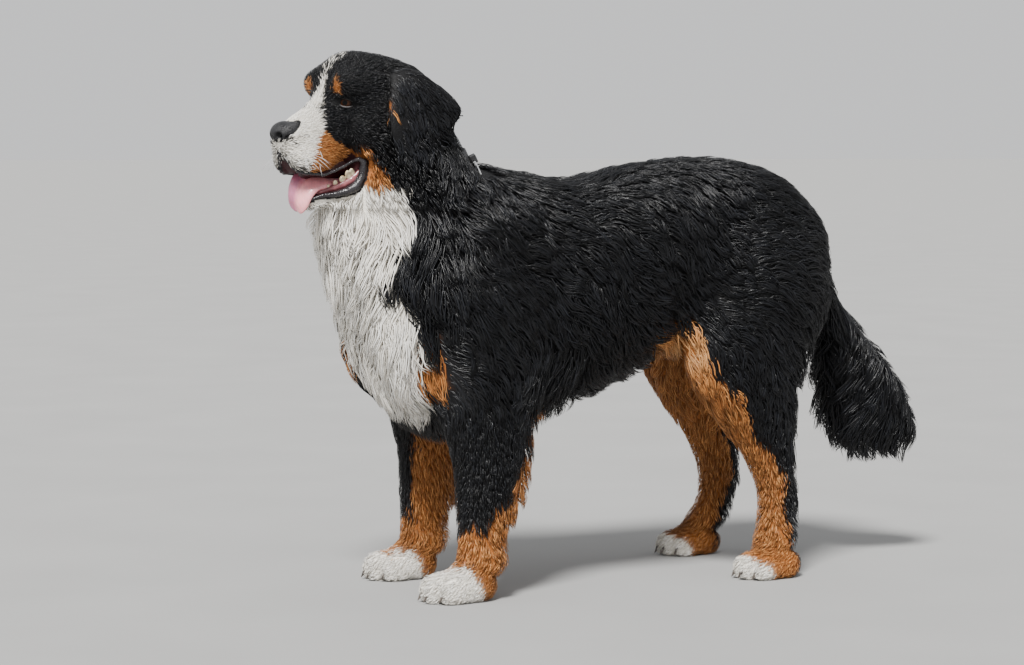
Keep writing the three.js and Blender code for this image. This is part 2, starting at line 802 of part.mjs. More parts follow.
// Rays round an axis along x or z, from one angle to another
function fan(axis, from, to, count, shift = 0) {
  return Array.from({ length: count }, (_, i) => {
    const a = degrees(from + ((to - from) * (i + 0.5 + shift)) / count);
    return axis === "x" ? [0, Math.sin(a), Math.cos(a)] : [-Math.cos(a), Math.sin(a), 0];
  });
}

// Rows of rays at even steps, every second row shifted
function band(low, high, step, make) {
  const rows = [];
  for (let at = low, i = 0; at <= high; at += step, i++) rows.push(make(at, (i % 2) / 2 - 0.25));
  return rows;
}

// A cone that grows from a place, its root sunk in
function spike(place, way, radius, length) {
  const along = new THREE.Vector3(...way).normalize();
  const turn = new THREE.Quaternion().setFromUnitVectors(new THREE.Vector3(0, 1, 0), along);
  return solidOf(new THREE.ConeGeometry(radius, length, 5).applyQuaternion(turn).translate(...place));
}

function clawed(foot, [x, y], size) {
  let whole = foot;
  for (const { out, ahead, radius } of TOES) {
    const place = [x + (ahead - 12 - radius[0]) * size, y + out * size, 12];
    whole = whole.add(spike(place, [-0.9, 0, -0.4], CLAW.radius, CLAW.length));
  }
  return whole;
}

// A mesh of a field of the head's frame
function headNet(field, low, high, cell) {
  const geometry = geometryOf(net(field, low, high, cell)).applyMatrix4(HEAD_MATRIX);
  return closed(geometry.attributes.position.array, geometry.index.array);
}

const cube = (size) => [size, size, size];

// Ears
const ears = {};
const earSpaces = [];
for (const side of ["left", "right"]) {
  const s = -SIDES[side];
  const low = [-150, s > 0 ? 30 : -125, -130];
  const high = [40, s > 0 ? 125 : -30, 75];
  ears[side] = headNet((q) => earField(q, side), low, high, [19, 11, 20]);
  const outward = LEFTWARD.clone().multiplyScalar(s);
  earSpaces.push(swollen(ears[side]));
  for (const { root, tip } of EAR_LOCKS) {
    const ends = [root, tip].map(([f, l, u]) => new THREE.Vector3(...fromHead([f, s * l, u])));
    const path = (reach) =>
      [0, 1, 2, 3].map((i) => {
        const point = ends[0].clone().lerp(ends[1], (i * reach) / 3);
        return point.addScaledVector(outward, i % 3 ? 2 : 0);
      });
    const outs = ends.concat(ends).map(() => outward);
    ears[side] = ears[side].add(strip(path(1), outs, 24, 9));
    earSpaces.push(strip(path(1.1), outs, 29, 15));
  }
}

const earSpace = earSpaces.reduce((all, space) => all.add(space));

// Tail: its locks stay inside the plain plume's outline, which its neighbours keep clear of
const plume = net(tailField, [370, -110, 150], [670, 110, 640], [28, 24, 30]);
const tailSpace = swollen(plume);
const tail = grow(net(tailCore, [370, -110, 150], [670, 110, 640], [34, 28, 40]), {
  core: tailCore,
  full: (p) => tailField(p) + 3,
  room: "tail",
  lie: lieOfTail,
  length: 130,
  width: 44,
  rows: band(290, 540, 80, (z, shift) => ({
    from: [435 + Math.max(0, 480 - z) * 0.28, 0, z],
    ways: fan("z", -180, 180, 4, shift),
  })),
}).intersect(plume);

// A squashed ball in the head's frame, turned so that its own first axis points along a direction
function ball(centre, radius, along, [across, rings]) {
  const sphere = new THREE.SphereGeometry(1, across, rings).scale(...radius);
  const first = new THREE.Vector3(1, 0, 0);
  const turn = new THREE.Quaternion().setFromUnitVectors(first, along.clone().normalize());
  return solidOf(sphere.applyQuaternion(turn).translate(...centre).applyMatrix4(HEAD_MATRIX));
}

// Head, jaw, tongue, nose and eyes
let jaw = headNet(jawField, [38, -70, -170], [160, 70, -80], [15, 12, 10]);
const tongue = headNet(tongueField, [30, -45, -160], [175, 45, -90], [13, 14, 9]);
let nose = headNet(noseField, [110, -40, -50], [175, 40, 5], cube(9));
let head = headNet(carvedHead, [-150, -110, -165], [175, 110, 95], [[[25, 25], [12.5, 175]], 16.5, 15.5]);
const noseRoom = swollen(nose);
const eyes = {};
for (const [side, s] of Object.entries(SIDES)) {
  const centre = [EYE[0], -s * EYE[1], EYE[2]];
  const out = new THREE.Vector3(EYE_OUT[0], -s * EYE_OUT[1], EYE_OUT[2]);
  const front = out.clone().normalize().multiplyScalar(EYE_RADIUS);
  const lids = ball(centre, [LID_RADIUS, LID_RADIUS + 1, LID_RADIUS], out, [10, 7]);
  const slit = ball(front.toArray().map((x, i) => x + centre[i]), SLIT, out, [12, 8]);
  eyes[side] = ball(centre, cube(EYE_RADIUS), out, [12, 6]);
  head = head.add(lids).subtract(slit).subtract(swollen(eyes[side]));
  const hole = new THREE.Vector3(1, -s * 0.35, 0);
  nose = nose.subtract(ball([161, -s * 10, -22], [10, 5, 5.5], hole, [6, 4]));
  nose = nose.subtract(ball([150, -s * 21, -27], [12, 4, 2.4], new THREE.Vector3(1, -s * 0.8, 0), [6, 4]));
}
head = head.intersect(headRoom(-GAP / 2)).subtract(noseRoom);
head = head.subtract(earSpace);
for (const piece of [jaw, tongue]) head = head.subtract(swollen(piece));
add("head", head, COLOURS.black);
add("nose", nose, COLOURS.nose);
for (const s of [1, -1])
  for (const { place: [f, l, u], height, radius } of TEETH)
    jaw = jaw.add(spike(fromHead([f, s * l, u]), THROAT_UP, radius, height));
add("lower_jaw", jaw.subtract(swollen(tongue)), COLOURS.white);
add("tongue", tongue, COLOURS.tongue);
for (const side of ["left", "right"]) {
  add("ear_" + side, ears[side], COLOURS.black);
  add("eye_" + side, eyes[side], COLOURS.eye);
}

// Collar: a strap round the base of the neck, sunk in the coat but for the nape, with a ring in a loop
function strapRadius(angle) {
  const way = collarWay(angle);
  const skin = new THREE.Vector3(...cast(bodyField, COLLAR.centre, way));
  const buried = 1 - Math.max(Math.cos(angle), 0) ** 2;
  return skin.distanceTo(new THREE.Vector3(...COLLAR.centre)) - 2 - COLLAR.sunk * buried;
}

function collarWay(angle) {
  const [c, d] = [Math.cos(angle), Math.sin(angle)];
  return [COLLAR.back[0] * c, d, COLLAR.back[2] * c];
}

function collarHoop(reachIn, reachOut, halfWidth) {
  const points = [];
  const faces = [];
  for (let i = 0; i < COLLAR.steps; i++) {
    const angle = (i / COLLAR.steps) * 2 * Math.PI;
    const way = collarWay(angle);
    for (const [r, w] of [[0, -1], [1, -1], [1, 1], [0, 1]]) {
      const radius = r ? reachOut(angle) : reachIn(angle);
      points.push(...COLLAR.centre.map((x, c) => x + way[c] * radius + COLLAR.up[c] * w * halfWidth));
    }
    const next = ((i + 1) % COLLAR.steps) * 4;
    for (let c = 0; c < 4; c++) {
      const d = (c + 1) % 4;
      faces.push(i * 4 + c, i * 4 + d, next + d, i * 4 + c, next + d, next + c);
    }
  }
  const hoop = closed(points, faces);
  return hoop.volume() > 0 ? hoop : closed(points, faces.reverse());
}

const strap = collarHoop((a) => strapRadius(a) - COLLAR.thick, strapRadius, COLLAR.width / 2);
const grooveRadius = (angle) => strapRadius(angle) + (Math.cos(angle) > 0.6 ? 60 : GAP);
const grooveFloor = (angle) => strapRadius(angle) - COLLAR.thick - GAP;
const groove = collarHoop(grooveFloor, grooveRadius, COLLAR.width / 2 + GAP);

// The ring lies on the strap at the nape, and its loop is a short block on the strap that it passes through
const ringWay = new THREE.Vector3(...collarWay(RING.angle));
const ringAside = new THREE.Vector3(...COLLAR.up).cross(ringWay).normalize();
const ringUp = new THREE.Vector3().crossVectors(ringWay, ringAside);
const ringBasis = new THREE.Matrix4().makeBasis(ringAside, ringUp, ringWay);
function onStrap(geometry, alongWidth, height) {
  const lift = strapRadius(RING.angle) + height;
  const at = COLLAR.centre.map((x, c) => x + ringWay.getComponent(c) * lift + COLLAR.up[c] * alongWidth);
  return solidOf(geometry.applyMatrix4(ringBasis).translate(...at));
}
const ring = onStrap(new THREE.TorusGeometry(RING.radius, RING.wire, 6, 14), RING.behind, RING.height);
const loopLift = RING.loop[2] / 2 + 3 * GAP;
const loopBlock = onStrap(new THREE.BoxGeometry(...RING.loop), RING.behind + RING.radius, loopLift);
add("collar_band", strap, COLOURS.strap);
add("collar_ring", ring, COLOURS.chrome);
add("collar_loop", loopBlock.subtract(swollen(ring)).subtract(swollen(strap)), COLOURS.strap);

// Neck, chest and torso
let neck = net(coreField, [-540, -210, 420], [-100, 210, 860], [50, 48, 48]);
neck = grow(neck, {
  room: "neck",
  length: 115,
  width: 54,
  rows: band(-95, 85, 44, (up, shift) => ({
    from: COLLAR.centre.map((x, c) => x + NECK_UP[c] * up),
    ways: Array.from({ length: 10 }, (_, i) => collarWay(((i + shift) / 10) * 2 * Math.PI)),
  })),
});
neck = neck.intersect(neckRoom).subtract(headRoom(GAP / 2)).subtract(earSpace).subtract(swollen(jaw));
neck = neck.subtract(groove).subtract(swollen(ring)).subtract(swollen(loopBlock));
add("neck", neck, COLOURS.black);

let trunk = net(coreField, [-520, -240, 190], [480, 240, 740], [60, 50, 48]);
trunk = grow(trunk, {
  room: "chest",
  length: 130,
  width: 52,
  rows: band(270, 560, 57, (z, shift) => ({ from: [-320, 0, z], ways: fan("z", -75, 75, 4, shift) })),
});
trunk = grow(trunk, {
  room: "chest",
  length: 130,
  width: 54,
  rows: band(-290, -110, 70, (x, shift) => ({ from: [x, 0, 440], ways: fan("x", -140, 140, 8, shift) })),
});
trunk = grow(trunk, {
  room: "chest",
  length: 100,
  width: 46,
  rows: band(-300, -120, 60, (x, shift) => ({ from: [x, 0, 330], ways: fan("x", 150, 210, 2, shift) })),
});
trunk = grow(trunk, {
  room: "torso",
  length: 100,
  width: 46,
  rows: band(-70, 160, 46, (x, shift) => ({ from: [x, 0, 420], ways: fan("x", 140, 220, 2, shift) })),
});
trunk = grow(trunk, {
  room: "torso",
  length: 135,
  width: 56,
  rows: band(-72, 400, 90, (x, shift) => ({ from: [x, 0, 510], ways: fan("x", -130, 130, 7, shift) })),
});
trunk = trunk.intersect(torsoSide).subtract(tailSpace).subtract(swollen(ring));
for (const side of ["left", "right"]) {
  trunk = trunk.subtract(foreRoom(side, GAP / 2)).subtract(hindRoom(side, GAP / 2));
}
add("chest", trunk.intersect(beyond([CHEST_CUT, 0, 0], [-1, 0, 0], GAP / 2)), COLOURS.black);
add("torso", trunk.intersect(beyond([CHEST_CUT, 0, 0], [1, 0, 0], GAP / 2)), COLOURS.black);
add("tail", tail, COLOURS.black);

// Legs and paws
const layer = (low, high) =>
  block([-FAR_SIZE, -FAR_SIZE, low + GAP / 2], [FAR_SIZE, FAR_SIZE, high - GAP / 2]);
for (const side of ["left", "right"]) {
  const s = SIDES[side];
  const span = (near, far) => [Math.min(s * near, s * far), Math.max(s * near, s * far)];
  const [foreLow, foreHigh] = span(20, 240);
  const [hindLow, hindHigh] = span(0, 240);
  const fore = net(bodyField, [-440, foreLow, 40], [-60, foreHigh, 370], [30, 28, 42]);
  const foreleg = fore.intersect(foreRoom(side, -GAP / 2)).intersect(layer(PAW_CUT, 900));
  add("foreleg_" + side, foreleg, COLOURS.rust);
  const foot = net(bodyField, [-380, foreLow, -20], [-180, foreHigh, 80], [21, 19, 17]);
  const toes = clawed(foot, FORE[side].paw, 1);
  add("forepaw_" + side, toes.intersect(layer(-100, PAW_CUT)).intersect(overFloor), COLOURS.white);
  const thigh = net(bodyField, [40, hindLow, 130], [500, hindHigh, 560], [36, 33, 41]);
  const upper = thigh.intersect(hindRoom(side, -GAP / 2)).intersect(layer(HOCK_CUT, 900));
  add("thigh_" + side, upper.subtract(tailSpace), COLOURS.black);
  const shank = net(bodyField, [200, hindLow, 30], [440, hindHigh, 200], [23, 20, 32]);
  add("hock_" + side, shank.intersect(layer(PAW_CUT, HOCK_CUT)), COLOURS.rust);
  const sole = net(bodyField, [180, hindLow, -20], [400, hindHigh, 80], [21, 19, 17]);
  const hindToes = clawed(sole, HIND[side].paw, 0.94);
  add("hind_paw_" + side, hindToes.intersect(layer(-100, PAW_CUT)).intersect(overFloor), COLOURS.white);
}

export default part;
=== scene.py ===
import math

import bpy
import numpy as np
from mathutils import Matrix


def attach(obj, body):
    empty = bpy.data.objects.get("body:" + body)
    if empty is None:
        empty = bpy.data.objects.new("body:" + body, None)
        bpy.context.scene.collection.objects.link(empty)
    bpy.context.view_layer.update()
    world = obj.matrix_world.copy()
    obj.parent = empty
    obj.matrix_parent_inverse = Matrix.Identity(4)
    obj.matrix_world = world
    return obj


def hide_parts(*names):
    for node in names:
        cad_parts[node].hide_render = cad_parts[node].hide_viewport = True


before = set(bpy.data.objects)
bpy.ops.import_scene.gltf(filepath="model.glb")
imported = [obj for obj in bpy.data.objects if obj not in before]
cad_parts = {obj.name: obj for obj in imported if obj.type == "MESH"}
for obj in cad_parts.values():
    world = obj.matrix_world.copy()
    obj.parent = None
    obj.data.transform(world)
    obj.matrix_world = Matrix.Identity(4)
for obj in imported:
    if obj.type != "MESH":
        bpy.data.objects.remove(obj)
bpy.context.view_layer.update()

import openvdb
from mathutils import Vector
from mathutils.kdtree import KDTree

# A Bernese mountain dog: skin, tufts of coat, eyes, nose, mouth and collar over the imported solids.
# Shapes are worked out in millimetres in the dog's own frame and written in metres in the part's frame.
CENTRE = np.array([40.0, 3.0, 0.0])
MM_PER_M = 1000
rng = np.random.default_rng(11)

# Distance fields, the same as the solids'
def smin(a, b, k):
    h = np.maximum(k - np.abs(a - b), 0)
    return np.minimum(a, b) - h * h / (4 * k)


def smax(a, b, k):
    return -smin(-a, -b, k)


def profile(rows):
    rows = np.array(rows, float)
    s = rows[:, 0]
    before = np.maximum(np.arange(len(s)) - 1, 0)
    after = np.minimum(np.arange(len(s)) + 1, len(s) - 1)
    slope = (rows[after] - rows[before]) / (s[after] - s[before])[:, None]
    at = np.arange(s[0], s[-1] + 1.9, 2.0)
    i = np.clip(np.searchsorted(s, at, side="right") - 1, 0, len(s) - 2)
    span = (s[i + 1] - s[i])[:, None]
    t = np.clip((at[:, None] - s[i][:, None]) / span, 0, 1)
    a, b, d = 2 * t**3 - 3 * t**2 + 1, t**3 - 2 * t**2 + t, t**3 - t**2
    table = a * rows[i] + b * span * slope[i] + (1 - a) * rows[i + 1] + d * span * slope[i + 1]
    return at, table[:, 1:]


def tube(rows, power=2.2, soft=30, coat=(16, 20, 24)):
    at, table = profile(rows)
    first, last = rows[0][0], rows[-1][0]

    def field(along, a, b, share=1.0):
        s = np.clip(along, first, last)
        low, high, centre, half = (np.interp(s, at, table[:, c]) for c in range(4))
        reach = (high - low) / 2
        u, v = (a - (high + low) / 2) / reach, (b - centre) / half
        au, av = np.abs(u), np.abs(v)
        rho = np.maximum((au**power + av**power) ** (1 / power), 1e-3)
        steep = np.hypot((au / rho) ** (power - 1) / reach, (av / rho) ** (power - 1) / half)
        tilt = np.clip(u / rho, -1, 1)
        depth = coat[1] + (np.where(tilt > 0, coat[0], coat[2]) - coat[1]) * tilt * tilt
        side = (rho - 1) / steep + (1 - share) * depth
        end = np.maximum(along - last, first - along) + (1 - share) * coat[1]
        return smax(side, end, soft)

    return field


def ellipsoid(p, centre, radius):
    q = [(p[i] - centre[i]) / radius[i] for i in range(3)]
    rho = np.sqrt(q[0] ** 2 + q[1] ** 2 + q[2] ** 2)
    steep = np.sqrt(sum((v / r) ** 2 for v, r in zip(q, radius))) / np.maximum(rho, 1e-3)
    return (rho - 1) / np.maximum(steep, 1e-3)


HEAD_CENTRE = np.array([-397.0, -10.0, 775.0])
yaw, pitch = math.radians(12), math.radians(13)
FORWARD = np.array([-math.cos(yaw) * math.cos(pitch), -math.sin(yaw) * math.cos(pitch), -math.sin(pitch)])
LEFTWARD = np.array([math.sin(yaw), -math.cos(yaw), 0.0])
UPWARD = np.cross(FORWARD, LEFTWARD)
HEAD = np.stack([FORWARD, LEFTWARD, UPWARD])


def ramp(x, low, high):
    return np.clip((x - low) / (high - low), 0, 1)


def mix(a, b, t):
    return a + (b - a) * t


def cord(p, points, radii):
    """Distance to a round cord through points, with a radius at each."""
    points, best = np.asarray(points, float), 1e9
    for k in range(len(points) - 1):
        step = points[k + 1] - points[k]
        t = np.clip((p - points[k]) @ step / (step @ step), 0, 1)
        reach = np.linalg.norm(p - points[k] - t[:, None] * step, axis=1)
        best = smin(best, reach - mix(radii[k], radii[k + 1], t), 1.5)
    return best


def to_head(p):
    return (p - HEAD_CENTRE) @ HEAD.T


def from_head(q):
    return np.asarray(q, float) @ HEAD + HEAD_CENTRE


torso = tube(
    [
        [-335, 370, 560, 0, 100], [-290, 300, 610, 0, 132], [-200, 252, 668, 0, 155],
        [-120, 255, 662, 0, 165], [-40, 282, 650, 0, 170], [40, 318, 668, 0, 165],
        [120, 358, 682, 0, 155], [200, 385, 687, 0, 150], [280, 400, 678, 0, 145],
        [350, 420, 652, 0, 128], [405, 455, 600, 0, 98], [438, 490, 555, 0, 55],
    ],
    2.3, 50, (18, 25, 42),
)
neck_tube = tube(
    [
        [225, -280, -180, 0, 60], [280, -345, -190, 0, 85], [330, -378, -190, 0, 108],
        [400, -410, -160, 0, 128], [460, -440, -140, 0, 140], [520, -462, -140, 0, 138],
        [580, -474, -160, 0, 128], [640, -462, -192, 0, 116], [700, -430, -226, 0, 104],
        [760, -400, -262, 0, 88], [805, -380, -292, 0, 64],
    ],
    2.2, 40, (25, 28, 45),
)
# Each side's paw on the floor, the leg's place across at its top and, for a hind leg, its shift to the rear
FORE = {-1: ((-272, -129), -112), 1: ((-272, 112), 104)}
HIND = {-1: ((275, -130), -96, 0), 1: ((278, 146), 100, 26)}
FORE_TOP, HIND_TOP = 420, 460
FORELEG_BEHIND_PAW = 26
HIND_PAW_SIZE = 0.94
FORELEG = [
    [30, -52, 50, 46], [60, -34, 56, 41], [95, -32, 52, 36], [150, -34, 76, 42],
    [200, -36, 88, 48], [250, -48, 98, 54], [300, -60, 112, 60], [350, -72, 118, 64],
    [430, -70, 110, 64], [500, -60, 90, 58],
]
HINDLEG = [
    [30, -40, 58, 42], [60, -28, 56, 37], [95, -20, 54, 33], [140, -20, 62, 33],
    [180, -34, 58, 37], [220, -58, 58, 45], [260, -92, 60, 55], [310, -130, 66, 66],
    [370, -150, 88, 73], [430, -150, 118, 78], [500, -120, 125, 78], [570, -80, 110, 70],
]


def leg_tube(rows, coat, height, behind, paw, top, back=0):
    """A leg that leans from its paw to its top. Each row gives height, front, rear and half its width."""
    table = []
    for z, front, rear, half in rows:
        x = paw[0] + behind
        shift = back * min(max((z - 20) / 80, 0), 1) * min(max((620 - z) / 300, 0), 1)
        table.append([z, x + front + shift, x + rear + shift, paw[1] + (top - paw[1]) * z / height, half])
    return tube(table, 2.2, 30, coat)


fore_tubes = {s: leg_tube(FORELEG, (30, 11, 9), FORE_TOP, FORELEG_BEHIND_PAW, *FORE[s]) for s in FORE}
hind_tubes = {s: leg_tube(HINDLEG, (34, 16, 14), HIND_TOP, 0, *HIND[s]) for s in HIND}
# Each toe's place outward and ahead, and its radii
TOES = [(-30, -14, (26, 15, 26)), (-11, -30, (28, 15, 28)), (11, -30, (28, 15, 28)), (30, -14, (26, 15, 26))]


def paw_field(p, place, size):
    q = [(p[0] - place[0]) / size, (p[1] - place[1]) / size, p[2] / size]
    d = ellipsoid(q, (6, 0, 22), (50, 42, 62 / 1.8))
    for out, ahead, radius in TOES:
        d = smin(d, ellipsoid(q, (ahead - 12, out, 18), radius), 7)
    return d * size


cranium = tube(
    [
        [-124, -46, 0, 0, 30], [-106, -80, 26, 0, 56], [-70, -112, 49, 0, 73], [-30, -132, 67, 0, 82],
        [8, -136, 76, 0, 80], [38, -118, 66, 0, 60], [58, -98, 40, 0, 40], [74, -84, 18, 0, 36],
    ],
    2.3, 22, (9, 14, 22),
)
muzzle = tube(
    [
        [35, -72, 30, 0, 36], [65, -87, 16, 0, 44], [90, -93, 6, 0, 48], [112, -96, -1, 0, 46],
        [132, -92, -7, 0, 42], [146, -82, -13, 0, 36], [156, -66, -18, 0, 29], [163, -48, -26, 0, 20],
    ],
    2.7, 22, (5, 6, 5),
)
mouth_room = tube(
    [
        [30, -150, -66, 0, 34], [70, -150, -63, 0, 38], [110, -150, -60, 0, 34],
        [138, -150, -60, 0, 26], [152, -150, -62, 0, 12],
    ],
    3, 8, (0, 0, 0),
)
mouth_side = tube(
    [[44, -112, -86, 0, 90], [60, -125, -84, 0, 90], [90, -150, -90, 0, 90], [200, -190, -90, 0, 90]],
    4, 14, (0, 0, 0),
)
jaw_tube = tube(
    [
        [40, -152, -98, 0, 52], [60, -154, -106, 0, 50], [85, -153, -113, 0, 44], [110, -151, -117, 0, 36],
        [130, -148, -119, 0, 27], [143, -142, -123, 0, 18],
    ],
    2.6, 12, (2, 6, 10),
)
jaw_room = tube(
    [
        [20, -138, -60, 0, 40], [60, -138, -60, 0, 38], [85, -138, -60, 0, 33],
        [110, -136, -60, 0, 25], [130, -132, -60, 0, 16],
    ],
    3, 6, (0, 0, 0),
)
tongue_tube = tube(
    [
        [42, -130, -110, 0, 24], [80, -126, -106, 0, 26], [108, -119, -102, 1, 26], [126, -118, -102, 1, 26],
        [139, -129, -108, 0, 25], [148, -143, -119, -1, 23], [157, -155, -131, -2, 18],
    ],
    2.3, 7, (0, 0, 0),
)
ear_tube = tube(
    [
        [-112, -38, -12, 88, 7], [-98, -56, 2, 89, 9], [-80, -90, 10, 90, 11], [-50, -126, 13, 90, 12],
        [-18, -114, 5, 84, 14], [14, -86, -10, 74, 16], [38, -62, -22, 62, 14],
    ],
    2.4, 12, (6, 5, 6),
)
tail_tube = tube(
    [
        [182, 492, 594, 0, 30], [212, 444, 624, 0, 48], [250, 422, 628, 0, 58], [300, 412, 602, 0, 62],
        [350, 406, 562, 0, 62], [400, 402, 514, 0, 58], [450, 398, 478, 0, 52], [500, 396, 454, 0, 46],
        [550, 392, 440, 0, 40], [592, 385, 428, 0, 32],
    ],
    2.2, 24, (26, 34, 60),
)
EYE = np.array([42.0, 34.0, 2.0])
EYE_OUT = np.array([0.76, 0.64, 0.1])
EYE_OUT /= np.linalg.norm(EYE_OUT)
EYE_LONG = np.array([-0.65, 0.69, -0.33])
EYE_RADIUS = 12.0
SLIT_HEIGHT, SLIT_LENGTH, SLIT_DEPTH = 5.4, 15, 9
CREASE = [(45, 50, -7), (46, 57, -11), (40, 73, -23), (29, 81, -37), (27, 83, -52)]
UPPER_LIP = [
    (158, 0, -50), (154, 7, -60), (151, 15, -70), (146, 25, -82), (137, 33, -87), (126, 39, -90),
    (113, 43, -95), (95, 45, -93), (78, 46, -90), (62, 47, -86), (49, 48, -85), (43, 50, -92),
]
UPPER_LIP_RADII = [1.5, 1.8, 2.2, 2.6, 2.6, 2.4, 2.2, 2.2, 2.2, 2.4, 3.4, 5]
LOWER_LIP = [
    (43, 50, -92), (46, 49, -101), (51, 48, -114), (62, 46, -125), (80, 43, -129), (97, 38, -129),
    (115, 30, -127), (130, 21, -129), (139, 9, -131), (140, 0, -131),
]
LOWER_LIP_RADII = [5, 6, 7.3, 8, 6, 4.4, 3.2, 2.6, 2.2, 2.2]


def mirrored(q):
    return q * (1, 0, 1) + np.abs(q) * (0, 1, 0)


def upper_lip(q):
    return cord(mirrored(q), UPPER_LIP, UPPER_LIP_RADII)


def lower_lip(q):
    return cord(mirrored(q), LOWER_LIP, LOWER_LIP_RADII)


def eye_slit(q, side, wide=1.0):
    """Inside the almond between the lids where it is below zero."""
    flip = np.array([1, side, 1])
    out = EYE_OUT * flip
    long_way = EYE_LONG * flip - out * (EYE_LONG * flip @ out)
    long_way /= np.linalg.norm(long_way)
    r = q - (EYE * flip + out * EYE_RADIUS)
    a, b, c = np.abs(r @ out), r @ long_way, np.abs(r @ np.cross(out, long_way))
    height = SLIT_HEIGHT * wide * (1 - (b / (SLIT_LENGTH * wide)) ** 2)
    return np.maximum(np.maximum(c - height, np.abs(b) - SLIT_LENGTH * wide), a - SLIT_DEPTH)


def near_eyes(q, wide):
    return (eye_slit(q, 1, wide) < 0) | (eye_slit(q, -1, wide) < 0)


def head_field(q, share=1.0):
    f, l, u = q[:, 0], q[:, 1], q[:, 2]
    m = (f, np.abs(l), u)
    d = cranium(f, u, l, share)
    d = smin(d, muzzle(f, u, l, share), 22)
    d = smin(d, ellipsoid(m, (14, 56, -40), (48, 24, 40)) + (1 - share) * 8, 20)
    d = smin(d, ellipsoid(m, (38, 42, 32), (24, 26, 24)) + (1 - share) * 5, 20)
    d = smin(d, ellipsoid(m, (112, 34, -66), (36, 17, 29)) + (1 - share) * 3, 12)
    i = np.nonzero(np.abs(d) < 25)[0]
    if len(i):
        fold = cord(mirrored(q[i]), CREASE, [0] * len(CREASE))
        d[i] += 3.2 * np.exp(-((fold / 5) ** 2))
    return smax(d, -ellipsoid(m, (66, 50, -1), (19, 15, 11)), 16)


def gape_of(q):
    """The room of the open mouth."""
    f, l, u = q.T
    return smin(mouth_room(f, u, l), mouth_side(f, u, l), 6)


def carved(q, share=1.0):
    return smax(head_field(q, share), -gape_of(q), 5)


def jaw_field(q, share=1.0):
    f, l, u = q.T
    rim = np.interp(f, [45, 53, 64, 80, 112, 135], [-96, -107, -116, -123, -122, -125])
    return smax(smax(jaw_tube(f, u, l, share), -jaw_room(f, u, l), 4), u - rim, 3)


def tongue_field(q):
    """The tongue, its far side raised and its near edge hanging over the lip."""
    f, l, u = q.T
    tilt = 0.5 * (20 - l) * ramp(f, 70, 115) * (1 - 0.6 * ramp(f, 140, 160)) - 3
    groove = 3.2 * np.exp(-((l - 2) ** 2) / 14) * ramp(f, 152, 135)
    return tongue_tube(f + 8 * ramp(f, 80, 120), u - tilt, l) + groove


def nose_field(q):
    m = (q[:, 0], np.abs(q[:, 1]), q[:, 2])
    d = smin(ellipsoid(q.T, (143, 0, -20), (20, 21, 15.5)), ellipsoid(m, (140, 13, -25), (18, 12.5, 12)), 6)
    d = smin(d, ellipsoid(m, (134, 15, -20), (20, 11, 12)), 5)
    hole = ellipsoid(m, (161, 11, -24), (10, 6.2, 5.8))
    turned = (m[0] * 0.8 + m[1] * 0.6, m[1] * 0.8 - m[0] * 0.6, m[2])
    slit = ellipsoid(turned, (134, -72, -27.5), (14, 4, 2.2))
    line = ellipsoid((m[0], m[1], m[2]), (164, 0, -34), (7, 1.2, 12))
    return smax(smax(smax(d, -hole, 3), -slit, 2), -line, 2)


def ear_field(q, side, share=1.0):
    m = (q[:, 0], side * q[:, 1], q[:, 2])
    return smax(ear_tube(m[2], m[0], m[1], share), -ellipsoid(m, (-40, 66, -35), (34, 14, 45)), 6)


def neck_and_torso(p, share=1.0):
    x, y, z = p.T
    return smin(torso(x, z, y, share), neck_tube(z, x, y, share), 60)


def body_field(p, share=1.0):
    share = np.broadcast_to(share, len(p))
    x, y, z = p.T
    d = neck_and_torso(p, share)
    m = (x, np.abs(y), z)
    d = smin(d, ellipsoid(m, (-232, 108, 478), (82, 56, 130)) + (1 - share) * 20, 50)
    d = smin(d, ellipsoid(m, (-345, 84, 428), (56, 46, 118)) + (1 - share) * 20, 40)
    for side in (-1, 1):
        for legs, places, size, box, k in (
            (fore_tubes, FORE, 1.0, (-480, -70), 35), (hind_tubes, HIND, HIND_PAW_SIZE, (50, 500), 45)
        ):
            i = np.nonzero((z < 660) & (x > box[0]) & (x < box[1]) & (y * side > -60))[0]
            if not len(i):
                continue
            r, c = p[i], share[i]
            leg = legs[side](r[:, 2], r[:, 0], r[:, 1], c)
            leg = smin(leg, paw_field(r.T, places[side][0], size) + (1 - c) * 6, 12)
            d[i] = smin(d[i], leg, k)
    i = np.nonzero((x < -140) & (z > 520))[0]
    if len(i):
        d[i] = smin(d[i], head_field(to_head(p[i]), share[i]), 30)
    return d


HEAD_REGION = (-230, 560)
MUZZLE_REGION = (-330, 560)
FACE_REGION = (-330, 600)


def within(p, region):
    """Which points are ahead of the region's x and above its z."""
    return (p[:, 0] < region[0]) & (p[:, 2] > region[1])


def tail_field(p, share=1.0):
    return tail_tube(p[:, 2], p[:, 0], p[:, 1], share)


# Closed meshes of a field, worked out only near its surface
def volume(field, low, high, cell, coarse=4):
    low, high = np.array(low, float), np.array(high, float)
    n = np.ceil((high - low) / (cell * coarse)).astype(int)
    axes = [low[i] + (np.arange(n[i]) + 0.5) * cell * coarse for i in range(3)]
    grid = np.stack(np.meshgrid(*axes, indexing="ij"), -1).reshape(-1, 3)
    rough = field(grid).reshape(n)
    values = rough.repeat(coarse, 0).repeat(coarse, 1).repeat(coarse, 2).astype(np.float32)
    near = np.argwhere(np.abs(values) < cell * coarse * 1.5)
    values[tuple(near.T)] = field(low + (near + 0.5) * cell)
    values[[0, -1]] = values[:, [0, -1]] = values[:, :, [0, -1]] = cell
    return values


def surface(field, low, high, cell):
    values = volume(field, low, high, cell)
    grid = openvdb.FloatGrid(float(values.max()))
    grid.copyFromArray(values)
    points, quads = grid.convertToQuads(0.0)
    return np.asarray(points, float) * cell + np.array(low) + 0.5 * cell, np.asarray(quads)


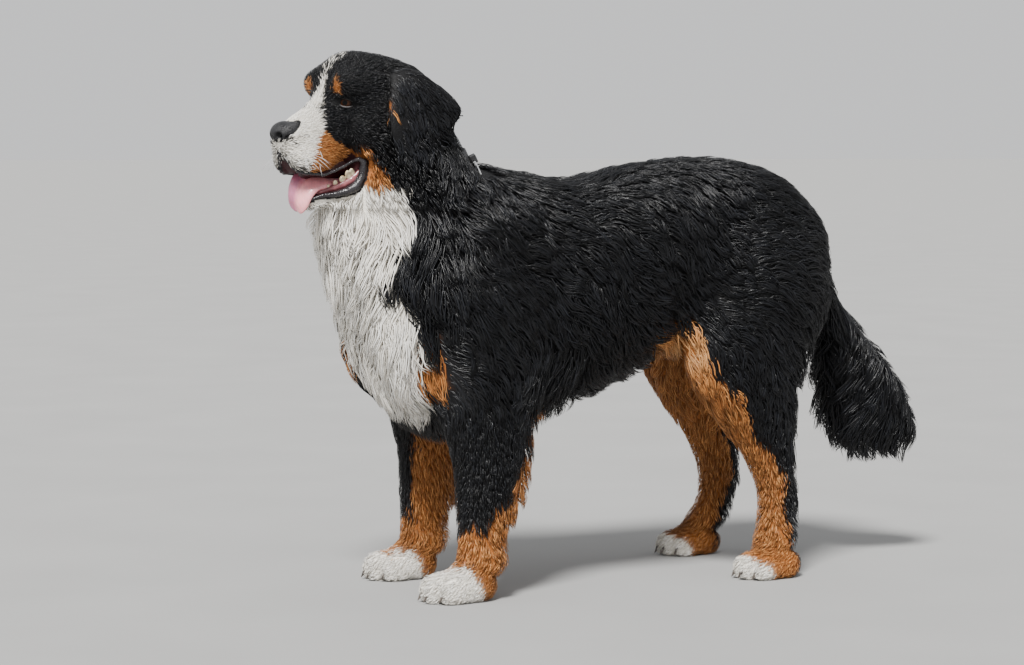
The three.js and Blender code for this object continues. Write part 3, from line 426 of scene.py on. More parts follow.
def slope(field, p, h=0.7):
    value = field(p)
    return value, np.stack([(field(p + step) - value) / h for step in np.eye(3) * h], 1)


def to_part(p):
    return (p - CENTRE) / MM_PER_M


def linked(name, data):
    thing = bpy.data.objects.new(name, data)
    bpy.context.collection.objects.link(thing)
    return thing


def add_mesh(name, points, faces, material, smooth=True):
    """A closed mesh. faces is a list of arrays of corners, each of faces with as many sides."""
    mesh = bpy.data.meshes.new(name)
    faces = [np.asarray(f) for f in faces if len(f)]
    loops = np.concatenate([f.ravel() for f in faces]).astype(np.int32)
    sizes = np.concatenate([np.full(len(f), f.shape[1]) for f in faces]).astype(np.int32)
    mesh.vertices.add(len(points))
    mesh.vertices.foreach_set("co", to_part(points).astype(np.float32).ravel())
    mesh.loops.add(len(loops))
    mesh.loops.foreach_set("vertex_index", loops)
    mesh.polygons.add(len(sizes))
    mesh.polygons.foreach_set("loop_start", np.concatenate([[0], np.cumsum(sizes)[:-1]]).astype(np.int32))
    mesh.update(calc_edges=True)
    mesh.polygons.foreach_set("use_smooth", np.full(len(sizes), smooth))
    mesh.materials.append(material)
    piece = linked(name, mesh)
    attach(piece, "root")
    return piece


# Noise that the coat and its markings share
WAVES = rng.normal(size=(24, 3))
PHASES = rng.uniform(0, 2 * math.pi, 24)


def noise(p, size, first=0):
    total = 0
    for k in range(first, first + 6):
        total = total + np.sin(p @ WAVES[k] / size + PHASES[k])
    return total / 3


# Markings: how white and how rust the coat is, from 0 to 1
BIB_HEIGHTS = [256, 300, 344, 386, 419, 446, 488, 520, 543, 574, 608, 640]
BIB_NEAR_EDGE = [-300, -312, -331, -345, -343, -348, -364, -382, -376, -357, -352, -350]
BIB_FAR_HEIGHTS = [245, 262, 285, 305, 330, 360, 393, 442, 493, 540, 600]
BIB_FAR_EDGE = [-62, -50, -30, 0, 28, 42, 50, 58, 70, 95, 118]
THIGH_HEIGHTS = [25, 57, 97, 133, 177, 208, 233, 267, 305, 328, 355, 394, 411]
THIGH_EDGE = [315, 300, 292, 293, 289, 268, 238, 212, 194, 171, 155, 138, 110]


def edge(distance, soft=4.0):
    return 1 / (1 + np.exp(-np.clip(distance / soft * 2, -30, 30)))


def head_markings(q, z, rough):
    f, l, u = q.T
    m = np.abs(l)
    muzzle_white = f - np.interp(u, [-90, -84, -67, -48, -26, -1, 8], [140, 138, 134, 122, 101, 90, 82])
    blaze = np.interp(u, [-10, -1, 10, 26, 40, 60], [36, 30, 14, 4.5, 2.5, -1]) - m
    blaze = np.where(f > 5, blaze, -20)
    white = np.where(u < 4, muzzle_white + rough * 0.35, blaze + rough * 0.12)
    chin = np.minimum(f - 57, -116 - u) + rough * 0.35
    top = np.interp(f, [20, 38, 58, 88, 101, 112], [-66, -66, -60, -47, -26, -18]) - u
    rear = f - np.interp(u, [-158, -137, -107, -87, -68, -50], [32, 28, 25, 30, 38, 60])
    cheek = np.minimum(top, rear) + rough * 0.4
    brow = 9.5 - np.sqrt((f - 62) ** 2 + (m - 39) ** 2 + (u - 30) ** 2)
    sliver = 3 - np.sqrt((f - 1) ** 2 + ((m - 86) / 1.6) ** 2 + ((u + 10) / 2.4) ** 2)
    rust = np.maximum(np.maximum(cheek, brow), sliver)
    return np.maximum(white, chin), np.minimum(rust, z - 603 + rough)


def foreleg_markings(p, rough):
    x, y, z = p.T
    inside = np.where(y < 0, y + 129, 112 - y)
    outer_rust = np.interp(x, [-277, -244, -230, -200, -178, -160], [107, 110, 138, 169, 219, 270]) - z
    inner_rust = np.minimum(np.maximum(x + 268, 109 - z), 300 - z)
    rust = mix(outer_rust, inner_rust, ramp(inside, -5, 25)) + rough * 1.6
    top = np.interp(x, [-345, -318, -300, -271], [90, 62, 46, 56]) - np.where(y > 0, 8, 0) - z
    white = np.minimum(top, -251 - (z - 15) * 0.43 - x) + rough * 0.7
    return white, rust


def hindleg_markings(p, rough):
    x, y, z = p.T
    inside = np.where(y < 0, y + 130, 146 - y)
    outer_rust = np.interp(z, THIGH_HEIGHTS, THIGH_EDGE) + np.where(y > 0, 20, 0) - x
    inner_rust = np.interp(z, [48, 83, 118, 154, 183, 260, 420], [307, 315, 329, 335, 323, 290, 240])
    inner_rust = inner_rust - np.where(y < 0, 20, 0) - x
    rust = mix(outer_rust, inner_rust, ramp(inside, 0, 35))
    rust = np.minimum(rust, 415 - z + 0.5 * np.maximum(inside, 0)) + rough
    white = np.interp(z, [0, 6, 24, 36, 46], [270, 267, 257, 236, 214]) - x + rough * 0.7
    return white, rust


def markings(p):
    x, y, z = p.T
    q = to_head(p)
    rough = 5 * noise(p, 14) + 2.5 * noise(p, 5, 6)
    on_head = (x < -330) & (z > 585) & (q[:, 0] > -20)
    head_white, head_rust = head_markings(q, z, rough)
    near = np.interp(z, BIB_HEIGHTS, BIB_NEAR_EDGE) - x
    far = np.interp(z, BIB_FAR_HEIGHTS, BIB_FAR_EDGE) - y
    bib = np.minimum(np.minimum(near, far), np.minimum(640 - z, z - 238))
    bib = np.where((x < -250) & (z < 650), bib, -60) + rough
    behind = np.where(y < 0, -near, -far)
    band = np.minimum(np.minimum(22 - behind, behind + 6), np.minimum(z - 338, 404 - z))
    band = np.where((x < -250) & (bib < 4), band + rough * 0.7, -60)
    white = np.maximum(np.where(on_head & (z > 600), head_white, -60), bib)
    rust = np.maximum(np.where(on_head, head_rust, -60), band)
    fore = (x > -430) & (x < -100) & (z < 330)
    hind = (x > 60) & (z < 470) & (np.abs(y) > 20) & (x < 400)
    for legs, (toes, sleeve), top in (
        (fore, foreleg_markings(p, rough), 90), (hind, hindleg_markings(p, rough), 60)
    ):
        rust = np.where(legs, np.maximum(rust, sleeve), rust)
        white = np.where(legs & (z < top), np.maximum(white, toes), white)
    vent = 14 - np.sqrt((x - 412) ** 2 + y**2 + ((z - 445) / 2.0) ** 2)
    rust = np.maximum(rust, vent)
    soft = np.where(on_head, 2.2, 4.0)
    white = edge(white, soft)
    return white, edge(rust, soft) * (1 - white)


def mottled(q):
    """How much black hair is mixed into the white under the nose and on the lips."""
    lip = cord(mirrored(q), UPPER_LIP[:7], UPPER_LIP_RADII[:7])
    nose = np.abs(nose_field(q))
    ticks = 0.62 * ramp(np.minimum(lip, nose + 4), 22, 3) * (q[:, 2] < -28) * (q[:, 0] > 100)
    chin = 0.5 * ramp(cord(mirrored(q), LOWER_LIP[5:], LOWER_LIP_RADII[5:]), 12, 2) * (q[:, 0] > 90)
    return np.maximum(ticks, chin)


def grizzled(q):
    """How much white hair is mixed into the black above the blaze."""
    return 0.34 * ramp(q[:, 2], 30, 60) * ramp(np.abs(q[:, 1]), 16, 8) * ramp(q[:, 0], 5, 25)


# Materials
def nodes_of(name):
    material = bpy.data.materials.new(name)
    material.use_nodes = True
    tree = material.node_tree
    return material, tree.nodes, tree.links, tree.nodes["Principled BSDF"]


def noise_node(nodes, links, place, socket, stretch, detail):
    mapping, grain = nodes.new("ShaderNodeMapping"), nodes.new("ShaderNodeTexNoise")
    mapping.inputs["Scale"].default_value = stretch
    grain.inputs["Scale"].default_value = 1.0
    grain.inputs["Detail"].default_value = detail
    links.new(place.outputs[socket], mapping.inputs["Vector"])
    links.new(mapping.outputs["Vector"], grain.inputs["Vector"])
    return grain.outputs["Fac"]


def spread(nodes, links, value, low, high):
    node = nodes.new("ShaderNodeMapRange")
    node.inputs["From Min"].default_value, node.inputs["From Max"].default_value = 0.25, 0.75
    node.inputs["To Min"].default_value, node.inputs["To Max"].default_value = low, high
    links.new(value, node.inputs["Value"])
    return node.outputs["Result"]


def relief(nodes, links, height, shader, strength, distance):
    bump = nodes.new("ShaderNodeBump")
    bump.inputs["Strength"].default_value = strength
    bump.inputs["Distance"].default_value = distance
    links.new(height, bump.inputs["Height"])
    links.new(bump.outputs["Normal"], shader.inputs["Normal"])


def fix(shader, values):
    for socket, value in values.items():
        shader.inputs[socket.replace("_", " ")].default_value = value


def noisy(name, colours, scale, roughness, bump, bump_scale, depth=0.001, **fixed):
    """Two colours mixed by noise, with roughness and relief from noise too."""
    material, nodes, links, shader = nodes_of(name)
    place = nodes.new("ShaderNodeTexCoord")
    grain = noise_node(nodes, links, place, "Object", (scale,) * 3, 6)
    tint = nodes.new("ShaderNodeValToRGB")
    for element, position, colour in zip(tint.color_ramp.elements, (0.3, 0.7), colours):
        element.position = position
        element.color = (*colour, 1)
    links.new(grain, tint.inputs["Fac"])
    links.new(tint.outputs["Color"], shader.inputs["Base Color"])
    links.new(spread(nodes, links, grain, *roughness), shader.inputs["Roughness"])
    fine = noise_node(nodes, links, place, "Object", (bump_scale,) * 3, 4)
    relief(nodes, links, fine, shader, bump, depth)
    fix(shader, fixed)
    return material


def tinted(name, roughness, stretch, shades=(0.6, 1.35), bump=0.5, depth=0.0006, on_map=False, **fixed):
    """The piece's own painted colour, streaked or grained by noise over its map or its place."""
    material, nodes, links, shader = nodes_of(name)
    paint_node = nodes.new("ShaderNodeAttribute")
    paint_node.attribute_name = "Col"
    place = nodes.new("ShaderNodeUVMap" if on_map else "ShaderNodeTexCoord")
    if on_map:
        place.uv_map = "OFBake"
    grain = noise_node(nodes, links, place, "UV" if on_map else "Object", stretch, 3)
    product = nodes.new("ShaderNodeVectorMath")
    product.operation = "MULTIPLY"
    links.new(paint_node.outputs["Color"], product.inputs[0])
    links.new(spread(nodes, links, grain, *shades), product.inputs[1])
    links.new(product.outputs["Vector"], shader.inputs["Base Color"])
    links.new(spread(nodes, links, grain, *roughness), shader.inputs["Roughness"])
    relief(nodes, links, grain, shader, bump, depth)
    fix(shader, fixed)
    return material


STRANDS = (4200, 260, 1)
COATS = {
    "black": dict(slot="coat_black", base=(0.0022, 0.0022, 0.0028), light=(0.009, 0.01, 0.0135), root=0.55),
    "rust": dict(slot="coat_rust", base=(0.3, 0.1, 0.022), light=(0.64, 0.29, 0.095), root=0.62),
    "white": dict(slot="coat_white", base=(0.78, 0.74, 0.66), light=(0.95, 0.93, 0.89), root=0.95),
}
coat_materials = {
    "black": tinted("black hair", (0.26, 0.42), STRANDS, on_map=True, Specular_IOR_Level=0.4),
    "rust": tinted("rust hair", (0.38, 0.52), STRANDS, on_map=True, Specular_IOR_Level=0.35),
    "white": tinted("white hair", (0.45, 0.6), STRANDS, (0.9, 1.06), on_map=True, Specular_IOR_Level=0.3),
}
skin_material = tinted(
    "skin under the coat", (0.5, 0.75), (420, 420, 420), (0.6, 1.3), 0.8, 0.0015, Specular_IOR_Level=0.2
)

# Skin: the same fields with SKIN of the coat's depth left on
SKIN = 0.42
FLEW, FLEW_RADIUS = (134, 22, -65), (22, 16, 24)
FLOOR_GAP = 0.6
MOUTH_DARK = np.array([0.035, 0.007, 0.009])
TRUNK_BOX, TRUNK_CELL = ((-500, -230, -12), (680, 230, 800)), 7.0
HEAD_BOX, HEAD_CELL = ((-175, -135, -215), (170, 135, 92)), 2.4


def whole(p, share=1.0):
    d = body_field(p, share)
    i = np.nonzero(p[:, 0] > 360)[0]
    if len(i):
        d[i] = smin(d[i], tail_field(p[i], share), 14)
    return smax(d, FLOOR_GAP - p[:, 2], 2)


def head_skin(q, share=SKIN):
    d = carved(q, share)
    d = smin(d, ellipsoid(mirrored(q).T, FLEW, FLEW_RADIUS) + (1 - share) * 3, 8)
    d = smin(d, jaw_field(q, share), 5)
    for side in (-1, 1):
        d = smin(d, ear_field(q, side, share), 6)
        lids = np.linalg.norm(q - EYE * (1, side, 1), axis=1) - EYE_RADIUS - 1.2
        d = smax(smin(d, lids, 3), -eye_slit(q, side), 1.2)
    return d


def neck_skin(q):
    return np.minimum(head_skin(q), body_field(from_head(q), SKIN))


def shade(p):
    white, rust = markings(p)
    q = to_head(p)
    near = within(p, FACE_REGION)
    dark = np.where(near, mottled(q), 0)
    lips = np.minimum(upper_lip(q), lower_lip(q))
    dark = np.where(near & ((lips < 2.5) | (nose_field(q) < 3)), 1, dark)
    white, rust = white * (1 - dark), rust * np.where(dark == 1, 0, 1)
    tint = {k: np.array(c["base"]) for k, c in COATS.items()}
    colour = tint["white"] * white[:, None] + tint["rust"] * rust[:, None]
    colour = colour + tint["black"] * (1 - white - rust)[:, None]
    f, l, u = q.T
    inside = near & (gape_of(q) < 2.2) & (f > 20) & (np.abs(l) < 42) & (u > -128)
    return np.where(inside[:, None], MOUTH_DARK, colour)


def paint(piece, colour):
    layer = piece.data.color_attributes.new("Col", "FLOAT_COLOR", "POINT")
    rgba = np.ones((len(colour), 4), np.float32)
    rgba[:, :3] = colour
    layer.data.foreach_set("color", rgba.ravel())


def kept(points, quads, keep):
    quads = quads[keep[quads].all(1)]
    used, index = np.unique(quads, return_inverse=True)
    return points[used], index.reshape(-1, 4)


def make_skin():
    """One skin over all the flesh: coarse on the trunk, fine on the head, each kept where the other ends."""
    trunk, trunk_quads = surface(lambda p: whole(p, SKIN), *TRUNK_BOX, TRUNK_CELL)
    head, head_quads = surface(neck_skin, *HEAD_BOX, HEAD_CELL)
    f, l, u = to_head(trunk).T
    in_head_box = (f > -168) & (f < 168) & (u > -206) & (np.abs(l) < 130)
    trunk, trunk_quads = kept(trunk, trunk_quads, ~in_head_box)
    head, head_quads = kept(head, head_quads, (head[:, 0] > -172) & (head[:, 2] > -212))
    points = np.concatenate([trunk, from_head(head)])
    return points, np.concatenate([trunk_quads, head_quads + len(trunk)])[:, ::-1]


skin_points, skin_quads = make_skin()
skin = add_mesh("skin", skin_points, [skin_quads], skin_material)
paint(skin, shade(skin_points))


# Coat: tufts, each a flat three-sided spike that follows the lie of the hair
SWELL = 7.0
FREE_REACH = 16.0

def unit(v):
    return v / np.maximum(np.linalg.norm(v, axis=1, keepdims=True), 1e-6)


def ears_of(q):
    return np.minimum(ear_field(q, -1), ear_field(q, 1))


def outer(p):
    """The coat's full outside, its hair included."""
    d = whole(p)
    i = np.nonzero(within(p, HEAD_REGION))[0]
    if len(i):
        q = to_head(p[i])
        jaw = jaw_tube(q[:, 0], q[:, 2], q[:, 1])
        flew = ellipsoid(mirrored(q).T, FLEW, FLEW_RADIUS)
        d[i] = smin(smin(smin(d[i], flew, 8), jaw, 6), ears_of(q), 6)
    return d


def on_tail(p):
    return (p[:, 0] > 385) & (tail_field(p) < 8)


def lie_of(p, out):
    """Which way the coat lies at each point, before it is turned along the surface."""
    x, y, z = p.T
    q = to_head(p)
    f, l, u = q.T
    n = len(p)

    def vec(a, b, c):
        return np.broadcast_to(np.array([a, b, c], float), (n, 3))

    way = mix(vec(0.95, 0, -0.3), vec(0.3, 0, -0.95), (ramp(x, -60, -260) * 0.95)[:, None])
    way = mix(way, vec(0.45, 0, -0.9), ramp(x, 250, 380)[:, None])
    way = mix(way, vec(0.7, 0, -0.65), (ramp(z, 640, 690) * ramp(x, -300, -200) * ramp(x, 0, -100))[:, None])
    down = np.maximum(ramp(z, 420, 330) * (x < -60), ramp(z, 450, 330) * (x > 90))
    way = mix(way, vec(0.12, 0, -1), down[:, None])
    feather = ramp(out[:, 0], 0.3, 0.8) * ramp(z, 90, 160) * (z < 380) * (x < -60)
    way = mix(way, vec(0.75, 0, -0.65), feather[:, None])
    way = mix(way, vec(-0.75, 0, -0.5), ramp(z, 75, 50)[:, None])
    way = mix(way, vec(0.42, 0, -0.9), (on_tail(p) * 1.0)[:, None])
    in_head = ramp(neck_and_torso(p), -6, 8) * (x < -230) * (z > 560)
    back = np.stack([-np.ones(n), 0.12 * np.sign(l), -0.1 - 0.75 * ramp(u, 20, -90) * ramp(f, 150, 60)], 1)
    back[:, 2] += 0.25 * ramp(u, 20, 60)
    way = mix(way, back @ HEAD, in_head[:, None])
    near_ear = ramp(ears_of(q), 6, 2) * (x < -200)
    ear = np.stack([-0.25 - 0.5 * ramp(f, -40, -100), 0 * f, -np.ones(n)], 1)
    return mix(way, ear @ HEAD, near_ear[:, None])


def looseness(p, out):
    """How freely hair leaves the coat's outside: the plume, feathers, belly, breeches and the bib's hem."""
    x, y, z = p.T
    tail = on_tail(p) * 1.5
    feather = 0.6 * ramp(out[:, 0], 0.2, 0.7) * ramp(z, 80, 130) * ramp(z, 400, 340) * (x < -60)
    belly = 0.7 * ramp(out[:, 2], -0.3, -0.8) * (x > -200) * (x < 330) * (z > 200)
    breeches = 0.5 * ramp(x, 360, 400) * ramp(z, 180, 260) * (z < 500)
    hem = 0.5 * (x < -270) * (z > 220) * ramp(z, 420, 300)
    return np.maximum.reduce([tail, feather, belly, breeches, hem])


def scatter(points, quads, density):
    """Random roots on quads, as many per square metre as density gives for each quad."""
    a, b, c, d = (points[quads[:, i]] for i in range(4))
    expected = area_of(points, quads) * density
    count = np.floor(expected + rng.random(len(expected))).astype(int)
    i = np.repeat(np.arange(len(quads)), count)
    s, t = rng.random((2, len(i), 1))
    return (a[i] * (1 - s) + b[i] * s) * (1 - t) + (d[i] * (1 - s) + c[i] * s) * t


def area_of(points, quads):
    a, b, c, d = (points[quads[:, i]] for i in range(4))
    return 0.5 * np.linalg.norm(np.cross(c - a, d - b), axis=1) * 1e-6


def comb(roots, length, steps, wave, turning, ends):
    """Paths of tufts from their roots, with the way out of the coat at each of their stations."""
    start, g = slope(outer, roots)
    out = unit(g)
    path, outs = [roots], [out]
    p = roots
    turn = rng.normal(0, turning, len(roots))
    phase = 2.2 * noise(roots, 38, 3) + rng.normal(0, 0.35, len(roots))
    swirl = 0.55 * noise(roots, 75, 9) * ramp(length, 15, 45)
    lift = SWELL * ramp(length, 22, 50) * noise(roots * (0.6, 1, 1), 26, 15)
    loose = looseness(roots, out)
    level = start * (1 - ends) - lift * 0.6 - SWELL * 0.35 * ramp(length, 22, 50)
    for i in range(1, steps + 1):
        t = i / steps
        way = lie_of(p, out)
        rise = (way * out).sum(1)
        pressed = np.where(rise > 0, 1 - np.minimum(loose, 0.9), 1)
        way = unit(way - out * (rise * pressed)[:, None])
        a = turn + swirl + wave * np.cos(phase + 5.0 * t)
        way = way * np.cos(a)[:, None] + np.cross(out, way) * np.sin(a)[:, None]
        p = p + way * (length / steps)[:, None]
        value, g = slope(outer, p)
        steep = np.maximum(np.linalg.norm(g, axis=1), 0.4)
        out = unit(g)
        gap = start + (level - start) * math.sin(min(1, t * 1.25) * math.pi / 2) - value
        standing = np.minimum(gap + FREE_REACH * loose * t, 0)
        sunken = gap * (1 - 0.5 * np.minimum(loose, 1))
        gap = np.where(gap < 0, standing, sunken)
        p = p + out * np.clip(gap / steep, -length / steps, length / steps)[:, None]
        p[:, 2] = np.maximum(p[:, 2], FLOOR_GAP)
        path.append(p)
        outs.append(out)
    return np.stack(path, 1), np.stack(outs, 1), loose


def gather(path, leaders, strength):
    """Draws each tuft's path towards that of its nearest leader, more at its tip, so that locks form."""
    tree = KDTree(len(leaders))
    for i in leaders:
        tree.insert(path[i, 0], int(i))
    tree.balance()
    lead = np.array([tree.find(r)[1] for r in path[:, 0]])
    t = np.linspace(0, 1, path.shape[1])[None, :, None]
    return path + (path[lead] - path) * (strength[:, None, None] * t**1.3)


RING_PLACE = np.array([-211.0, -40.0, 670.0])
RING_CLEARANCE = 27
EYE_CLEARANCE, LID_CLEARANCE = 1.38, 1.35


def in_the_way(path, loose):
    """Tufts that would hang over an eye, the mouth, a lip, the nose or the ring, or that leave the coat."""
    gone = outer(path[:, -1]) > 5 + FREE_REACH * 1.6 * loose
    for station in range(path.shape[1]):
        p = path[:, station]
        gone |= np.linalg.norm(p - RING_PLACE, axis=1) < RING_CLEARANCE
        i = np.nonzero(within(p, MUZZLE_REGION))[0]
        if not len(i):
            continue
        q = to_head(p[i])
        hit = (gape_of(q) < 1.5) & (q[:, 0] > 38) & (q[:, 2] > -136)
        hit |= lower_lip(q) < 1.2
        hit |= upper_lip(q) < 0
        hit |= nose_field(q) < 0.3
        hit |= near_eyes(q, EYE_CLEARANCE)
        gone[i] |= hit
    return gone


SIDES_OF_TUFT = np.array([[-0.5, 0.0], [0.5, 0.0], [0.0, 1.0]])
PATCH = 0.003
PIECE_TRIANGLES = 190000


def unwrap(p):
    """A place on the skin's own unwrap: a patch of the square for each of head, trunk, tail and legs."""
    x, y, z = p.T
    q = to_head(p)
    head = (x < -230) & (neck_and_torso(p) > -12) & (z > 560)
    tail = (x > 385) & (tail_field(p) < 2)
    leg = (z < 300) & ~tail
    fore, near = leg & (x < 0), y < 0
    part = np.select([head, tail, fore & near, fore, leg & near, leg], [1, 2, 3, 4, 5, 6], 0)
    mains = [part == 1, part == 2, part == 0]
    around = np.select(
        mains,
        [np.arctan2(q[:, 1], q[:, 2] + 30), np.arctan2(y, x - 480), np.arctan2(y, z - 480)],
        np.arctan2(y - np.where(y < 0, -130, 125), x - np.where(x < 0, -240, 290)),
    )
    along = [(q[:, 0] + 200) / 380, (z - 170) / 440, (x + 490) / 940]
    along = np.select(mains, along, z / 310)
    corner = np.array([[0, 0], [0, 0.5], [0.36, 0.5], [0.68, 0.5], [0.84, 0.5], [0.68, 0.75], [0.84, 0.75]])
    size = np.array([[0.98, 0.48], [0.34, 0.48], [0.3, 0.48]] + [[0.14, 0.23]] * 4)
    place = np.stack([np.clip(along, 0, 1), around / (2 * math.pi) + 0.5], 1)
    return corner[part] + 0.005 + size[part] * place


def map_tufts(piece, roots, run):
    """Each tuft a small patch of the OFBake map at its root's place on the skin."""
    sides = np.append(np.tile([-0.5, 0.5, 0.0], len(run) // 3), 0)
    offset = np.stack([sides, run - 0.5], 1) * PATCH
    uv = (unwrap(roots)[:, None] + offset[None]).reshape(-1, 2)
    layer = piece.data.uv_layers.new(name="OFBake")
    index = np.empty(len(piece.data.loops), np.int32)
    piece.data.loops.foreach_get("vertex_index", index)
    layer.data.foreach_set("uv", uv[index].astype(np.float32).ravel())


def tufts(name, path, outs, width, thick, colour, coat):
    """Joined closed spikes, in pieces of fewer than 200,000 triangles."""
    rings = path.shape[1] - 1
    most = PIECE_TRIANGLES // (6 * rings - 2)
    taper = np.interp(np.linspace(0, 1, rings + 1)[:-1], [0, 0.3, 0.7, 1], [0.7, 1, 0.8, 0.35])
    turns = ((0, 1), (1, 2), (2, 0))
    quads = [[i * 3 + a, i * 3 + b, i * 3 + b + 3, i * 3 + a + 3] for i in range(rings - 1) for a, b in turns]
    tris = [[rings * 3 - 3 + a, rings * 3 - 3 + b, rings * 3] for a, b in turns] + [[0, 2, 1]]
    run = np.concatenate([np.repeat(np.arange(rings) / rings, 3), [1.0]])
    strong = COATS[coat]["root"] + (1.2 - COATS[coat]["root"]) * run
    for number, at in enumerate(range(0, len(path), most), 1):
        pick = slice(at, at + most)
        r, o = path[pick], outs[pick][:, :-1]
        side = np.cross(np.concatenate([r[:, 1:2] - r[:, :1], r[:, 2:] - r[:, :-2]], 1), o)
        side /= np.maximum(np.linalg.norm(side, axis=2, keepdims=True), 1e-6)
        breadth = (width[pick][:, None] * taper[None])[..., None]
        corners = [r[:, :-1] + side * (a * breadth) + o * (b * thick * breadth) for a, b in SIDES_OF_TUFT]
        ring = np.stack(corners, 2).reshape(len(r), rings * 3, 3)
        points = np.concatenate([ring, r[:, -1:]], 1).reshape(-1, 3)
        base = (np.arange(len(r)) * (rings * 3 + 1))[:, None, None]
        faces = [(np.array(kind)[None] + base).reshape(-1, len(kind[0])) for kind in (quads, tris) if kind]
        piece = add_mesh(name + "_" + str(number), points, faces, coat_materials[coat])
        paint(piece, (colour[pick][:, None] * strong[None, :, None]).reshape(-1, 3))
        map_tufts(piece, r[:, 0], run)


def bare(p):
    """Where no hair grows: in the mouth, on the lips and nose, round the eyes, under the soles."""
    none = p[:, 2] < 4
    i = np.nonzero(within(p, HEAD_REGION))[0]
    q = to_head(p[i])
    f, l, u = q.T
    on_head, on_jaw = head_field(q, SKIN), jaw_tube(f, u, l, SKIN)
    inside = (gape_of(q) < 2.5) & (on_head < 4) & (f > 30)
    inner_jaw = (on_jaw < -1.5) & (on_head > 1) & (f > 30)
    lip = lower_lip(q) < 1.5
    eye = near_eyes(q, LID_CLEARANCE)
    none[i] |= inside | inner_jaw | lip | eye | (nose_field(q) < 0.8)
    return none


def long_of(p):
    """Length of the hair in millimetres."""
    x, y, z = p.T
    q = to_head(p)
    f, l, u = q.T
    out = unit(slope(outer, p, 2.0)[1])
    body = 50 + 26 * ramp(x, -200, -330) + 16 * ramp(out[:, 2], 0, -0.7)
    body = mix(body, 34, ramp(z, 640, 680) * ramp(x, -200, -100))
    rear = ramp(out[:, 0], 0.1, 0.8)
    legs = 19 + 40 * rear * ramp(z, 90, 180)
    upper = np.where(x < 0, ramp(z, 260, 340), ramp(z, 180, 300))
    legs = mix(legs, np.where(x < 0, 45, 40 + 42 * rear), upper)
    length = mix(legs, body, np.where(x < 0, ramp(z, 300, 380), ramp(z, 380, 480)))
    length = mix(length, 12, ramp(z, 80, 55))
    flank = np.sqrt(((x - 110) / 40) ** 2 + ((z - 390) / 30) ** 2)
    length = length + 30 * ramp(flank, 1.2, 0.4) * (np.abs(y) > 60)
    length = np.where((x > 385) & (tail_field(p) < 2), 88, length)
    in_head = within(p, HEAD_REGION)
    face = 8 + 3 * ramp(f, 110, 30) + 8 * ramp(f, 20, -30) + 22 * ramp(f, -30, -90)
    face = face + 7 * ramp(u, -80, -130) * ramp(f, 80, 40)
    blend = ramp(neck_and_torso(p), -10, 12)
    length = np.where(in_head, mix(length, face, blend), length)
    length = np.where(in_head & (z > 615), np.minimum(length, np.interp(f, [-90, -20], [62, 20])), length)
    return np.where(in_head & (ears_of(q) < 1), 33, length)


def kind_of(roots):
    """Black, rust or white: 0, 1 or 2."""
    white, rust = markings(roots)
    draw = rng.random(len(roots))
    kind = np.where(draw < white, 2, np.where(draw < white + rust, 1, 0))
    q = to_head(roots)
    near = within(roots, FACE_REGION)
    chance = rng.random(len(roots))
    kind = np.where(near & (kind == 2) & (chance < mottled(q)), 0, kind)
    return np.where(near & (kind == 0) & (chance < grizzled(q)), 2, kind)


# Each class of tuft: its name, its shortest and longest hair, its steps and how wavy it is
CLASSES = (("short", 0, 14, 2, 0.1), ("mid", 14, 30, 2, 0.2), ("long", 30, 999, 4, 0.48))
HAIR_LENGTHS = [6, 10, 16, 30, 60, 90]
HAIR_RATES = [420000, 260000, 115000, 60000, 40000, 31000]
HAIR_WIDTHS = [0.85, 1.05, 1.5, 1.9, 2.2, 2.5]
COAT_TRIANGLES = 1.46e6
LONGEST_STRETCH = 1.8
FEWEST_TUFTS = 10
TUFTS_TO_A_LOCK = 14
ROOT_DEPTH = 1.5
TUFT_THICKNESS = 0.3
PALE_RUST = np.array([0.7, 0.42, 0.19])


def rates():
    """Tufts per square metre of each quad of the skin, as many as the coat's triangles allow."""
    centres = skin_points[skin_quads].mean(1)
    length = long_of(centres)
    rate = np.where(bare(centres), 0, np.interp(length, HAIR_LENGTHS, HAIR_RATES))
    each = np.where(length < 30, 10, 22)
    return rate * COAT_TRIANGLES / (area_of(skin_points, skin_quads) * rate * each).sum()


def colours_of(coat, roots):
    """Each tuft's colour: its coat's two shades mixed at random, paler in the rust's loose fringes, with
    painted shade on the black hair close beside the ears and a painted highlight on the ears' own black hair.
    """
    count = len(roots)
    x, y, z = roots.T
    shade_of = rng.random(count)[:, None] ** 1.5
    colour = mix(np.array(coat["base"]), np.array(coat["light"]), shade_of)
    if coat["slot"] == "coat_rust":
        flank = ramp(np.hypot((x - 105) / 36, (z - 385) / 34), 1.4, 0.5)
        throat = ramp(z, 645, 610) * ramp(z, 560, 590) * (x < -330)
        colour = mix(colour, PALE_RUST, (np.maximum(flank, throat) * 0.6)[:, None])
    calm = 0.35 if coat["slot"] == "coat_white" else 1.0
    patches = 1 + 0.16 * calm * noise(roots, 24, 2)
    colour = colour * (patches * (1 + calm * rng.uniform(-0.25, 0.2, count)))[:, None]
    # Painted shade and painted highlight: black hair within 16 mm of an ear is darkened down to a quarter,
    # and the ears' own black hair is made 1.5 times lighter.
    i = np.nonzero(within(roots, HEAD_REGION))[0]
    if len(i) and coat["slot"] == "coat_black":
        ear = ears_of(to_head(roots[i]))
        under = 0.25 + 0.75 * ramp(ear, 1, 16)
        colour[i] *= np.where(ear < 1, 1.5, under)[:, None]
    return colour


